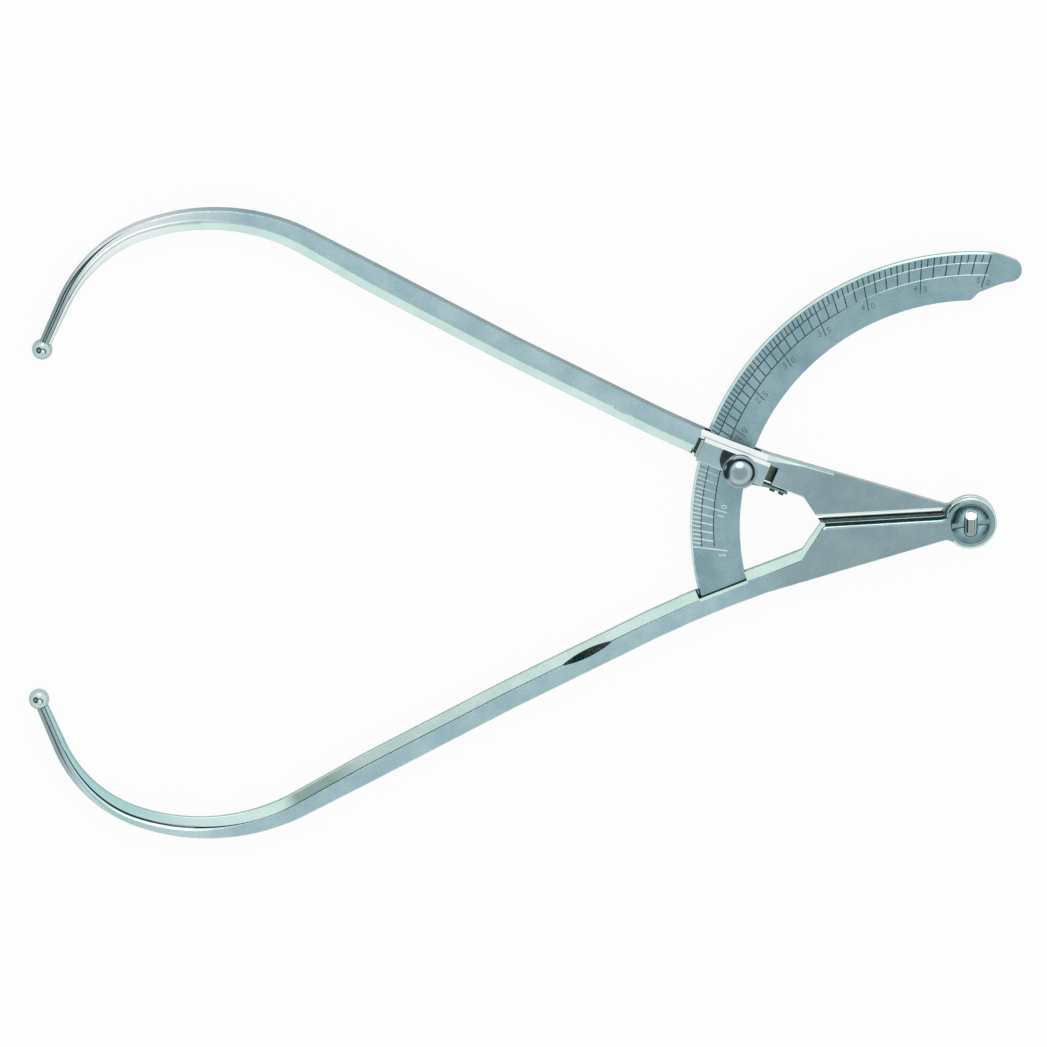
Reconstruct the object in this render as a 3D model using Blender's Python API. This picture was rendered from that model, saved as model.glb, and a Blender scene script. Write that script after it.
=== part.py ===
# Breadth caliper with a graduated arc, plated steel.
#
# Two bowed arms turn on one pivot. The graduated arc is fixed in the scale arm and passes through a
# window in the window arm, where a thumb screw clamps it. The instrument lies flat on its two ball
# tips and on the rear head of its pivot.
#
# Frame: the origin is the centre of the pivot head's rear face, +Z points out of the front face,
# and the arms point along -X. Everything is in metres and at the opening of about 12 cm.

import math

import bmesh
import bpy
from mathutils import Matrix, Vector

# Fits
CLEARANCE = 0.0003
SEAT_GAP = 0.0001
RUNNING_GAP = 0.0001
OVERRUN = 0.002
EDGE_BREAK = 0.0003

# Thickness and levels
ARM_THICKNESS = 0.0054
LAP_GAP = 0.0002
PIVOT_HEAD_STAND = 0.0008

# Line of an arm, from the hinge plate to the ball
BAR_START_BACK = 0.0703
BAR_START_SIDE = 0.0198
BAR_START_SLOPE = math.radians(20.0)
SWEEP_RADIUS = 0.360
SWEEP_TURN = math.radians(6.4)
FLANK_RADIUS = 2.300
FLANK_TURN = math.radians(2.7)
STRAIGHT_LENGTH = 0.0254
CROWN_RADIUS = 0.0667
CROWN_TURN = math.radians(49.5)
HOOK_RADIUS = 0.0453
HOOK_TURN = math.radians(46.0)
PRONG_LENGTH = 0.0184

# Section of an arm
BAR_WIDTH = 0.00935
BEVEL_WIDTH = 0.0033
BEVEL_DEPTH = 0.0018
ROD_DIAMETER = 0.0041
SPIGOT_DIAMETER = 0.0026
SPIGOT_LENGTH = 0.0038
BALL_RADIUS = 0.0035

# Hinge plate
EYE_RADIUS = 0.00895
EYE_CHAMFER = 0.0006
NECK_BACK = 0.0105
NECK_OUTER_SIDE = 0.0065
NECK_INNER_SIDE = 0.0026
NECK_FILLET = 0.0032
NECK_BEVEL_WIDTH = 0.0012
NECK_BEVEL_DEPTH = 0.0008
CORNER_SIDE = 0.0003
SHOULDER_SIDE = 0.0095
SHOULDER_LENGTH = 0.0133
DIAGONAL_LENGTH = 0.0065
DIAGONAL_BEVEL_WIDTH = 0.0024
CLOSING_ANGLE = math.radians(18.0)

# Pivot
HEAD_RADIUS = 0.00665
RECESS_DEPTH = 0.0013
SHANK_RADIUS = 0.0047
KEY_WIDTH = 0.0044
KEY_LENGTH = 0.0090
KEY_STAND = 0.0017
WASHER_THICKNESS = 0.0004
DISC_THICKNESS = 0.0016
DISC_SLOT_WIDTH = 0.0016
DISC_SLOT_DEPTH = 0.0008
DISC_SLOT_SLANT = math.radians(8.0)

# Graduated arc
ARC_START_GAP = 0.0050
ARC_WIDTH = 0.0167
ARC_THICKNESS = 0.0018
ARC_FOOT_REACH = 0.0022
ARC_NOTCH_ANGLE = math.radians(91.5)
ARC_NOTCH_TURN = math.radians(3.2)
TONGUE_WIDTH = 0.0135
TONGUE_END_RADIUS = 0.0040
TONGUE_END_DROP = 0.0055
TONGUE_END_ANGLE = math.radians(82.5)
TONGUE_OUTER_TURN = math.radians(18)
TONGUE_INNER_TURN = math.radians(25)
ARC_PIN_RADIUS = 0.0011
ARC_PIN_REACH = 0.0005
ARC_PIN_SPACING = 0.0080
ARC_PIN_BITE = 0.0009
SLOT_MOUTH_TURN = math.radians(20.0)

# Window of the window arm
POCKET_FLOOR_GAP = 0.0003
SLOT_FLOOR_GAP = 0.0002
POCKET_WALL_SIDE = 0.0020
POCKET_FOOT_GAP = 0.0033
POCKET_LEG_GAP = 0.0010
SLOT_ROOM = 0.0012
WINDOW_BEVEL_WIDTH = 0.0017
WINDOW_BEVEL_DEPTH = 0.0014

# Cover
COVER_THICKNESS = 0.0017
COVER_OUTER_SIDE = 0.0029
COVER_INNER_SIDE = 0.0056
COVER_CHAMFER = 0.0012
FOOT_LENGTH = 0.0054
LEG_THICKNESS = 0.0013
LEG_TOP_DROP = 0.0011
COVER_SCREW_RADIUS = 0.00095
COVER_SCREW_HEAD_RADIUS = 0.0016
COVER_SCREW_HEAD_HEIGHT = 0.0007
COVER_SCREW_BITE = 0.0030
COVER_SCREW_SPACING = 0.0036

# Clamp
PLATE_THICKNESS = 0.0010
PLATE_TRAVEL = 0.0007
BUSH_RADIUS = 0.0026
BUSH_COLLAR_RADIUS = 0.0030
BUSH_COLLAR_HEIGHT = 0.0007
SCREW_INSET = 0.0046
SCREW_SIDE = 0.0018
SCREW_RADIUS = 0.0019
KNOB_NECK_RADIUS = 0.0028
KNOB_RADIUS = 0.0059
KNOB_NECK_HEIGHT = 0.0014
KNOB_FLARE_HEIGHT = 0.0030
KNOB_RIM_HEIGHT = 0.0012
KNOB_DOME_HEIGHT = 0.0013

# Leaf spring
LEAF_THICKNESS = 0.0008
LEAF_TIP_WIDTH = 0.0024
LEAF_HEIGHT = 0.0034
LEAF_LENGTH = 0.0146
LEAF_SCREW_INSET = 0.0018
LEAF_SCREW_SPACING = 0.0032
LEAF_SCREW_RADIUS = 0.0008
LEAF_SCREW_HEAD_RADIUS = 0.0010
LEAF_SCREW_HEAD_HEIGHT = 0.0009
LEAF_SCREW_BITE = 0.0030

# Fineness of curved faces
ROUND_STEPS = 48
MIDDLE_ROUND_STEPS = 36
SMALL_ROUND_STEPS = 20
BALL_ROUND_STEPS = 24
BALL_RISE_STEPS = 14
FILLET_STEPS = 4
ARC_STEPS = 60
NOTCH_STEPS = 6
TONGUE_STEPS = 5
END_STEPS = 12
DOME_STEPS = 6
HALVINGS = 40
RING_TURN = math.radians(6.0)
MERGE_SHARE = 0.001

# Half of a whole
HALF = 0.5

# Levels that follow from the sizes above
MIDDLE = BALL_RADIUS
REAR = MIDDLE - ARM_THICKNESS / 2
FRONT = MIDDLE + ARM_THICKNESS / 2
ARC_REAR = MIDDLE - ARC_THICKNESS / 2
ARC_FRONT = MIDDLE + ARC_THICKNESS / 2
POCKET_FLOOR = ARC_REAR - POCKET_FLOOR_GAP
COVER_REAR = FRONT + SEAT_GAP
COVER_FRONT = COVER_REAR + COVER_THICKNESS
PLATE_FRONT = COVER_REAR - SEAT_GAP
PLATE_REAR = PLATE_FRONT - PLATE_THICKNESS
BALL_SEAT = math.sqrt(BALL_RADIUS ** 2 - (ROD_DIAMETER / 2) ** 2)

# Places that follow from the sizes above
SHOULDER_BACK = BAR_START_BACK - SHOULDER_LENGTH
CORNER_BACK = SHOULDER_BACK - DIAGONAL_LENGTH
ARC_INNER_RADIUS = math.hypot(BAR_START_BACK, BAR_START_SIDE) + ARC_START_GAP
ARC_OUTER_RADIUS = ARC_INNER_RADIUS + ARC_WIDTH
TONGUE_INNER_RADIUS = ARC_OUTER_RADIUS - TONGUE_WIDTH


def clear_scene():
    for thing in list(bpy.data.objects):
        bpy.data.objects.remove(thing)


def metal(name, colour, roughness):
    """A plated or bare metal finish."""
    material = bpy.data.materials.new(name)
    material.use_nodes = True
    shader = material.node_tree.nodes["Principled BSDF"]
    shader.inputs["Base Color"].default_value = (*colour, 1)
    shader.inputs["Metallic"].default_value = 1
    shader.inputs["Roughness"].default_value = roughness
    return material


def add_piece(name, mesh, material, parent=None, place=(0, 0, 0)):
    piece = bpy.data.objects.new(name, mesh)
    bpy.context.collection.objects.link(piece)
    piece.data.materials.clear()
    piece.data.materials.append(material)
    piece.parent = parent
    piece.location = place
    return piece


def add_axis(name, place=(0, 0, 0), turn=0):
    """An empty that stands on a joint's axis or carries a local frame."""
    axis = bpy.data.objects.new(name, None)
    bpy.context.collection.objects.link(axis)
    axis.location = place
    axis.rotation_euler = (0, 0, turn)
    return axis


def finish_mesh(name, bm):
    bmesh.ops.recalc_face_normals(bm, faces=bm.faces)
    mesh = bpy.data.meshes.new(name)
    bm.to_mesh(mesh)
    bm.free()
    return mesh


def prism_mesh(name, outline, low, high):
    """A flat outline in X and Y, extruded from one height to another."""
    bm = bmesh.new()
    corners = [bm.verts.new((x, y, low)) for x, y in outline]
    base = bm.faces.new(corners)
    grown = bmesh.ops.extrude_face_region(bm, geom=[base])
    top = [part for part in grown["geom"] if isinstance(part, bmesh.types.BMVert)]
    bmesh.ops.translate(bm, verts=top, vec=(0, 0, high - low))
    return finish_mesh(name, bm)


def box_outline(back, side, front, far_side):
    return [(back, side), (front, side), (front, far_side), (back, far_side)]


def turned_mesh(name, profile, steps=ROUND_STEPS):
    """A turned piece: its profile is a list of (radius, height) from one end of the axis to the other."""
    bm = bmesh.new()
    points = [bm.verts.new((radius, 0, height)) for radius, height in profile]
    lines = [bm.edges.new(pair) for pair in zip(points, points[1:])]
    if profile[0][0] > 0:
        lines.append(bm.edges.new((points[-1], points[0])))
    bmesh.ops.spin(bm, geom=points + lines, cent=(0, 0, 0), axis=(0, 0, 1), angle=math.tau, steps=steps)
    bmesh.ops.remove_doubles(bm, verts=bm.verts, dist=EDGE_BREAK * MERGE_SHARE)
    return finish_mesh(name, bm)


def rod_mesh(name, radius, low, high, steps=SMALL_ROUND_STEPS):
    return turned_mesh(name, [(0, low), (radius, low), (radius, high), (0, high)], steps)


def stepped_rod_mesh(name, wide_radius, narrow_radius, low, step_level, high, steps=SMALL_ROUND_STEPS):
    """A headed rod: wide at its lower end, narrow above."""
    profile = [(0, low), (wide_radius, low), (wide_radius, step_level)]
    profile += [(narrow_radius, step_level), (narrow_radius, high), (0, high)]
    return turned_mesh(name, profile, steps)


def reshape(piece, tool, operation="DIFFERENCE"):
    """Cut a tool from a piece, or join it on, and drop the tool."""
    change = piece.modifiers.new(tool.name, "BOOLEAN")
    change.operation = operation
    change.solver = "EXACT"
    change.object = tool
    bpy.context.view_layer.update()
    depsgraph = bpy.context.evaluated_depsgraph_get()
    material = piece.data.materials[0]
    mesh = bpy.data.meshes.new_from_object(piece.evaluated_get(depsgraph))
    piece.modifiers.clear()
    piece.data = mesh
    mesh.materials.clear()
    mesh.materials.append(material)
    bpy.data.objects.remove(tool)


def cut(piece, mesh, parent=None, place=(0, 0, 0)):
    reshape(piece, add_piece("cutter", mesh, piece.data.materials[0], parent, place))


def join(piece, mesh, parent=None, place=(0, 0, 0)):
    reshape(piece, add_piece("addition", mesh, piece.data.materials[0], parent, place), "UNION")


def turn_over(mesh):
    """Turn a mesh over about the X axis at the middle level, as the second arm lies."""
    to_middle = Matrix.Translation((0, 0, MIDDLE))
    mesh.transform(to_middle @ Matrix.Rotation(math.pi, 4, "X") @ to_middle.inverted())
    return mesh


def polar(radius, angle):
    return Vector((radius * math.cos(angle), radius * math.sin(angle)))


def blend(a, b, share):
    return a + (b - a) * share


def smooth(share):
    share = min(max(share, 0), 1)
    return share * share * (3 - 2 * share)


# The line of an arm: each stretch has a length and a curvature, positive where it turns outwards.
STRETCHES = [
    (SWEEP_RADIUS * SWEEP_TURN, 1 / SWEEP_RADIUS),
    (FLANK_RADIUS * FLANK_TURN, 1 / FLANK_RADIUS),
    (STRAIGHT_LENGTH, 0),
    (CROWN_RADIUS * CROWN_TURN, -1 / CROWN_RADIUS),
    (HOOK_RADIUS * HOOK_TURN, -1 / HOOK_RADIUS),
    (PRONG_LENGTH, 0),
]
CROWN_START = sum(length for length, curvature in STRETCHES[:3])
CROWN_MIDDLE = CROWN_START + STRETCHES[3][0] / 2
TAPER_START = CROWN_START - STRAIGHT_LENGTH
LINE_LENGTH = sum(length for length, curvature in STRETCHES)


def line_point(distance):
    """Point and slope of the window arm's line at a distance along it. The slope is measured from -X."""
    x = -BAR_START_BACK
    y = BAR_START_SIDE
    slope = BAR_START_SLOPE
    for number, (length, curvature) in enumerate(STRETCHES):
        last = number == len(STRETCHES) - 1
        run = distance if last else min(distance, length)
        end_slope = slope + curvature * run
        if curvature:
            x -= (math.sin(end_slope) - math.sin(slope)) / curvature
            y += (math.cos(slope) - math.cos(end_slope)) / curvature
        else:
            x -= run * math.cos(slope)
            y += run * math.sin(slope)
        slope = end_slope
        distance -= run
        if distance <= 0:
            break
    return Vector((x, y)), slope


def line_at_radius(radius):
    """Distance along the line at which it is a given radius from the pivot."""
    low = 0
    high = CROWN_MIDDLE
    for halving in range(HALVINGS):
        middle = (low + high) / 2
        if line_point(middle)[0].length < radius:
            low = middle
        else:
            high = middle
    return low


def outward(slope):
    """Direction across the line, to the outer side of the arm."""
    return Vector((math.sin(slope), math.cos(slope)))


def along(slope):
    return Vector((-math.cos(slope), math.sin(slope)))


def section(inner, outer, thickness, inner_bevel, outer_bevel, roundness):
    """Ring of 12 points across an arm: a bar with bevelled edges that becomes a round rod."""
    width = (outer - inner).length
    bevel, depth = inner_bevel
    chamfer, fall = outer_bevel
    rear = MIDDLE - thickness / 2
    front = MIDDLE + thickness / 2
    middle = (bevel + width - chamfer) / 2
    bar = [
        (width, rear + EDGE_BREAK),
        (width, front - fall),
        (width - chamfer, front),
        (middle, front),
        (bevel, front),
        (bevel / 2, front - depth / 2),
        (0, front - depth),
        (0, rear + depth),
        (bevel / 2, rear + depth / 2),
        (bevel, rear),
        (middle, rear),
        (width - EDGE_BREAK, rear),
    ]
    ring = []
    for number, (reach, level) in enumerate(bar):
        angle = math.tau * (number - HALF) / len(bar)
        round_reach = width / 2 * (1 + math.cos(angle))
        round_level = MIDDLE + thickness / 2 * math.sin(angle)
        place = inner + (outer - inner) * (blend(reach, round_reach, roundness) / width)
        ring.append((place.x, place.y, blend(level, round_level, roundness)))
    return ring


def rings_mesh(name, rings):
    """A skin over rings of points, closed at both ends."""
    bm = bmesh.new()
    loops = [[bm.verts.new(point) for point in ring] for ring in rings]
    for loop, following in zip(loops, loops[1:]):
        for number in range(len(loop)):
            after = (number + 1) % len(loop)
            bm.faces.new((loop[number], loop[after], following[after], following[number]))
    bm.faces.new(loops[0])
    bm.faces.new(loops[-1])
    return finish_mesh(name, bm)


def neck_fillet(start, end, side, steps=FILLET_STEPS):
    """Points of the fillet where a plate edge runs into the eye, from the edge to the eye."""
    direction = (end - start).normalized()
    away = Vector((-direction.y, direction.x)) * side
    base = start + away * NECK_FILLET
    reach = EYE_RADIUS + NECK_FILLET
    shift = -base.dot(direction) - math.sqrt(base.dot(direction) ** 2 - base.length_squared + reach ** 2)
    centre = base + direction * shift
    first = -away
    last = -centre.normalized()
    turn = first.angle_signed(last)
    points = []
    for step in range(steps + 1):
        spoke = Matrix.Rotation(-turn * step / steps, 2) @ first
        points.append(centre + spoke * NECK_FILLET)
    return points


def bar_width(distance):
    share = (distance - TAPER_START) / (LINE_LENGTH - TAPER_START)
    return blend(BAR_WIDTH, ROD_DIAMETER, min(max(share, 0), 1))


def bar_thickness(distance):
    share = (distance - CROWN_START) / (LINE_LENGTH - CROWN_START)
    return blend(ARM_THICKNESS, ROD_DIAMETER, min(max(share, 0), 1))


def bar_ends(distance):
    """Inner and outer edge points of the bar."""
    point, slope = line_point(distance)
    half = outward(slope) * (bar_width(distance) / 2)
    return point - half, point + half


CORNER = Vector((-CORNER_BACK, -CORNER_SIDE))
SHOULDER = Vector((-SHOULDER_BACK, SHOULDER_SIDE))
NECK_INNER = Vector((-NECK_BACK, -NECK_INNER_SIDE))
NECK_OUTER = Vector((-NECK_BACK, NECK_OUTER_SIDE))


def plate_rings(broken_edge):
    """Rings across the hinge plate, from inside the eye to the start of the bar."""
    bar_inner, bar_outer = bar_ends(0)
    inner = neck_fillet(CORNER, NECK_INNER, -1)
    outer = neck_fillet(bar_outer, NECK_OUTER, 1)
    small = (EDGE_BREAK, EDGE_BREAK)
    neck_bevel = (NECK_BEVEL_WIDTH, NECK_BEVEL_DEPTH)
    rings = [section(inner[-1] / 2, outer[-1] / 2, ARM_THICKNESS, small, small, 0)]
    for low, high in reversed(list(zip(inner, outer))):
        rings.append(section(low, high, ARM_THICKNESS, neck_bevel, small, 0))
    corner_outer = blend(outer[0], bar_outer, (outer[0].x - CORNER.x) / (outer[0].x - bar_outer.x))
    corner_bevel = (DIAGONAL_BEVEL_WIDTH, BEVEL_DEPTH)
    rings.append(section(CORNER, corner_outer, ARM_THICKNESS, corner_bevel, small, 0))
    shoulder_outer = blend(outer[0], bar_outer, (outer[0].x - SHOULDER.x) / (outer[0].x - bar_outer.x))
    shoulder_bevel = small if broken_edge else (BEVEL_WIDTH, BEVEL_DEPTH)
    rings.append(section(SHOULDER, shoulder_outer, ARM_THICKNESS, shoulder_bevel, small, 0))
    return rings


def bar_stations(extra):
    """Distances along the line at which the bar has a ring."""
    stations = [0]
    start = 0
    for length, curvature in STRETCHES[:-1]:
        steps = max(2, math.ceil(length * abs(curvature) / RING_TURN))
        stations += [start + length * step / steps for step in range(1, steps + 1)]
        start += length
    return sorted(stations + extra)


def arm_blank(name, bevel_start, outer_bevel_end):
    """The blank of an arm as the window arm lies: bar, rod and hinge plate, less half the lap."""
    small = (EDGE_BREAK, EDGE_BREAK)
    full = (BEVEL_WIDTH, BEVEL_DEPTH)
    window = (WINDOW_BEVEL_WIDTH, WINDOW_BEVEL_DEPTH)
    rings = plate_rings(bevel_start > 0)
    run_out = []
    for edge in (bevel_start, outer_bevel_end):
        if edge:
            run_out += [edge - CLEARANCE, edge + CLEARANCE]
    for distance in bar_stations(run_out):
        inner, outer = bar_ends(distance)
        inner_bevel = full if distance >= bevel_start else small
        outer_bevel = window if distance <= outer_bevel_end else small
        roundness = smooth((distance - CROWN_START) / (CROWN_MIDDLE - CROWN_START))
        thickness = bar_thickness(distance)
        rings.append(section(inner, outer, thickness, inner_bevel, outer_bevel, roundness))
    rod_end = LINE_LENGTH - BALL_SEAT - SEAT_GAP
    for distance, size in ((rod_end, ROD_DIAMETER), (rod_end, SPIGOT_DIAMETER),
                           (rod_end + SPIGOT_LENGTH, SPIGOT_DIAMETER)):
        point, slope = line_point(distance)
        half = outward(slope) * (size / 2)
        rings.append(section(point - half, point + half, size, small, small, 1))
    blank = add_piece(name, rings_mesh(name, rings), satin_plate)
    cut_lap(blank)
    eye = [(0, REAR), (EYE_RADIUS - EYE_CHAMFER, REAR), (EYE_RADIUS, REAR + EYE_CHAMFER)]
    eye += [(EYE_RADIUS, MIDDLE - LAP_GAP / 2), (0, MIDDLE - LAP_GAP / 2)]
    join(blank, turned_mesh("eye", eye))
    bore = stepped_rod_mesh("bore", HEAD_RADIUS + CLEARANCE, SHANK_RADIUS + RUNNING_GAP,
                            REAR - OVERRUN, REAR + RECESS_DEPTH, FRONT + OVERRUN, ROUND_STEPS)
    cut(blank, bore)
    return blank


def cut_lap(blank):
    """Take away the front half of the hinge plate, as far as the shoulder that stops the closing arms."""
    closing = Matrix.Rotation(-CLOSING_ANGLE, 2)
    stop = [closing @ Vector((point.x, -point.y)) for point in (CORNER, SHOULDER)]
    direction = (stop[0] - stop[1]).normalized()
    away = Vector((-direction.y, direction.x)) * CLEARANCE
    reach = direction * BAR_START_BACK
    outline = [stop[1] + away - reach, stop[0] + away + reach]
    outline += [Vector((BAR_START_BACK, BAR_START_BACK)), Vector((BAR_START_BACK, -BAR_START_BACK))]
    cut(blank, prism_mesh("lap", outline, MIDDLE - LAP_GAP / 2, FRONT + OVERRUN))


def sector_outline(inner_radius, outer_radius, start, end, steps=ARC_STEPS):
    angles = [blend(start, end, step / steps) for step in range(steps + 1)]
    outline = [polar(outer_radius, angle) for angle in angles]
    outline += [polar(inner_radius, angle) for angle in reversed(angles)]
    return outline


def tongue_outline():
    """The arc's outline: a ring sector that narrows from its inner edge to a rounded tongue."""
    end_centre = ARC_OUTER_RADIUS - TONGUE_END_DROP
    outer = []
    inner = []
    for step in range(ARC_STEPS + 1):
        angle = blend(ARC_FOOT_ANGLE, ARC_NOTCH_ANGLE, step / ARC_STEPS)
        outer.append(polar(ARC_OUTER_RADIUS, angle))
        inner.append(polar(ARC_INNER_RADIUS, angle))
    notch_end = ARC_NOTCH_ANGLE - ARC_NOTCH_TURN
    for step in range(1, NOTCH_STEPS + 1):
        share = step / NOTCH_STEPS
        angle = blend(ARC_NOTCH_ANGLE, notch_end, share)
        outer.append(polar(ARC_OUTER_RADIUS, angle))
        inner.append(polar(blend(ARC_INNER_RADIUS, TONGUE_INNER_RADIUS, smooth(share)), angle))
    for step in range(1, TONGUE_STEPS):
        share = step / TONGUE_STEPS
        angle = blend(notch_end, TONGUE_END_ANGLE, share)
        outer.append(polar(blend(ARC_OUTER_RADIUS, end_centre + TONGUE_END_RADIUS, share ** 2), angle))
        inner.append(polar(blend(TONGUE_INNER_RADIUS, end_centre - TONGUE_END_RADIUS, share), angle))
    centre = polar(end_centre, TONGUE_END_ANGLE)
    end = []
    first = TONGUE_END_ANGLE - TONGUE_OUTER_TURN
    last = TONGUE_END_ANGLE - math.pi + TONGUE_INNER_TURN
    for step in range(END_STEPS + 1):
        end.append(centre + polar(TONGUE_END_RADIUS, blend(first, last, step / END_STEPS)))
    return outer + end + inner[::-1]


# Frame of the window: X runs along the arm away from the pivot, Y towards the inner side.
WINDOW_RADIUS = (ARC_OUTER_RADIUS + ARC_INNER_RADIUS) / 2
WINDOW_POINT, WINDOW_SLOPE = line_point(line_at_radius(WINDOW_RADIUS))
WINDOW_ALONG = along(WINDOW_SLOPE)
WINDOW_ACROSS = -outward(WINDOW_SLOPE)
WALL = BAR_WIDTH / 2

# Polar angles of the scale arm, of the arc's foot in it and of the pins that hold the foot
SCALE_ARM_ANGLE = math.pi + math.atan2(WINDOW_POINT.y, -WINDOW_POINT.x)
ARC_FOOT_ANGLE = SCALE_ARM_ANGLE + ARC_FOOT_REACH / WINDOW_RADIUS
ARC_PIN_ANGLE = SCALE_ARM_ANGLE + ARC_PIN_REACH / WINDOW_RADIUS


def window_place(back, side):
    return WINDOW_POINT + WINDOW_ALONG * back + WINDOW_ACROSS * side


def window_reach(radius, side):
    """Distance along the window's X axis at which a circle about the pivot crosses it at this side."""
    foot = WINDOW_POINT + WINDOW_ACROSS * side
    shift = foot.dot(WINDOW_ALONG)
    return math.sqrt(shift ** 2 - foot.length_squared + radius ** 2) - shift


def window_limits(radius):
    """Least and greatest reach of a circle about the pivot over the width of the window."""
    reaches = [window_reach(radius, side) for side in (-WALL, 0, WALL)]
    return min(reaches), max(reaches)


FOOT_FACE = window_limits(ARC_INNER_RADIUS)[0] - CLEARANCE
LEG_FACE = window_limits(ARC_OUTER_RADIUS)[1] + CLEARANCE
FOOT_END = FOOT_FACE - FOOT_LENGTH
LEG_END = LEG_FACE + LEG_THICKNESS
POCKET_START = FOOT_END - POCKET_FOOT_GAP
POCKET_END = LEG_END + POCKET_LEG_GAP


def make_scale_arm():
    arm = arm_blank("scale_arm", 0, 0)
    turn_over(arm.data)
    low = ARC_REAR - SEAT_GAP
    high = ARC_FRONT + SEAT_GAP
    inner = ARC_INNER_RADIUS - CLEARANCE
    outer = ARC_OUTER_RADIUS + CLEARANCE
    foot = ARC_FOOT_ANGLE + CLEARANCE / WINDOW_RADIUS
    mouth = ARC_FOOT_ANGLE - SLOT_MOUTH_TURN
    cut(arm, prism_mesh("slot", sector_outline(inner, outer, foot, mouth), low, high))
    cut_bevel_notch(arm, inner, outer)
    hole_end = high + ARC_PIN_BITE + CLEARANCE
    for name, radius in arc_pins():
        place = polar(radius, ARC_PIN_ANGLE)
        hole = rod_mesh("hole", ARC_PIN_RADIUS + RUNNING_GAP, REAR - OVERRUN, hole_end)
        cut(arm, hole, place=(place.x, place.y, 0))


def cut_bevel_notch(arm, inner, outer):
    """Open the bevel above the arc, so that the arc meets a wall at the edge of the flat face."""
    edge = [line_point(line_at_radius(radius)) for radius in (inner, outer)]
    shift = BAR_WIDTH / 2 - BEVEL_WIDTH
    wall = [point - outward(slope) * shift for point, slope in edge]
    free = [point - outward(slope) * BAR_WIDTH for point, slope in edge]
    outline = [(point.x, -point.y) for point in (wall[0], wall[1], free[1], free[0])]
    cut(arm, prism_mesh("notch", outline, MIDDLE, FRONT + OVERRUN))


def arc_pins():
    shift = ARC_PIN_SPACING / 2
    return (("arc_pin_inner", WINDOW_RADIUS - shift), ("arc_pin_outer", WINDOW_RADIUS + shift))


def make_arc():
    mesh = prism_mesh("graduated_arc", tongue_outline(), ARC_REAR, ARC_FRONT)
    arc = add_piece("graduated_arc", mesh, satin_plate)
    for name, radius in arc_pins():
        place = polar(radius, ARC_PIN_ANGLE)
        hole = rod_mesh("hole", ARC_PIN_RADIUS + RUNNING_GAP, ARC_REAR - OVERRUN, ARC_FRONT + OVERRUN)
        cut(arc, hole, place=(place.x, place.y, 0))
        pin = rod_mesh(name, ARC_PIN_RADIUS, REAR + SEAT_GAP, ARC_FRONT + ARC_PIN_BITE)
        add_piece(name, pin, polished_steel, place=(place.x, place.y, 0))


def make_pivot():
    head_top = REAR + RECESS_DEPTH - SEAT_GAP
    head_bottom = REAR - PIVOT_HEAD_STAND
    seat = FRONT - RECESS_DEPTH
    shank_top = seat - SEAT_GAP
    washer_low = seat + SEAT_GAP
    disc_low = washer_low + WASHER_THICKNESS + SEAT_GAP
    disc_high = disc_low + DISC_THICKNESS
    key_top = FRONT + KEY_STAND
    profile = [(0, head_bottom), (HEAD_RADIUS - EDGE_BREAK, head_bottom)]
    profile += [(HEAD_RADIUS, head_bottom + EDGE_BREAK), (HEAD_RADIUS, head_top)]
    profile += [(SHANK_RADIUS, head_top), (SHANK_RADIUS, shank_top), (0, shank_top)]
    screw = add_piece("pivot_screw", turned_mesh("pivot_screw", profile), polished_steel)
    join(screw, prism_mesh("key", oval_outline(KEY_WIDTH, KEY_LENGTH), shank_top - OVERRUN, key_top))
    washer = [(SHANK_RADIUS + RUNNING_GAP, washer_low), (HEAD_RADIUS, washer_low)]
    washer += [(HEAD_RADIUS, washer_low + WASHER_THICKNESS)]
    washer += [(SHANK_RADIUS + RUNNING_GAP, washer_low + WASHER_THICKNESS)]
    add_piece("pivot_washer", turned_mesh("pivot_washer", washer), polished_steel)
    profile = [(0, disc_low), (HEAD_RADIUS, disc_low), (HEAD_RADIUS, disc_high - EDGE_BREAK)]
    profile += [(HEAD_RADIUS - EDGE_BREAK, disc_high), (0, disc_high)]
    disc = add_piece("pivot_disc", turned_mesh("pivot_disc", profile), satin_plate)
    room = 2 * RUNNING_GAP
    keyway = oval_outline(KEY_WIDTH + room, KEY_LENGTH + room)
    cut(disc, prism_mesh("keyway", keyway, disc_low - OVERRUN, disc_high + OVERRUN))
    slot_half = HEAD_RADIUS + OVERRUN
    slot = box_outline(-slot_half, -DISC_SLOT_WIDTH / 2, slot_half, DISC_SLOT_WIDTH / 2)
    cutter = prism_mesh("slot", slot, disc_high - DISC_SLOT_DEPTH, disc_high + OVERRUN)
    cutter.transform(Matrix.Rotation(DISC_SLOT_SLANT, 4, "Z"))
    cut(disc, cutter)


def oval_outline(width, length, steps=END_STEPS):
    """A slot-shaped outline with round ends, long side along Y."""
    rise = (length - width) / 2
    outline = []
    for side in (1, -1):
        for step in range(steps + 1):
            angle = math.pi * step / steps + (0 if side > 0 else math.pi)
            outline.append((width / 2 * math.cos(angle), side * rise + width / 2 * math.sin(angle)))
    return outline


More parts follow.
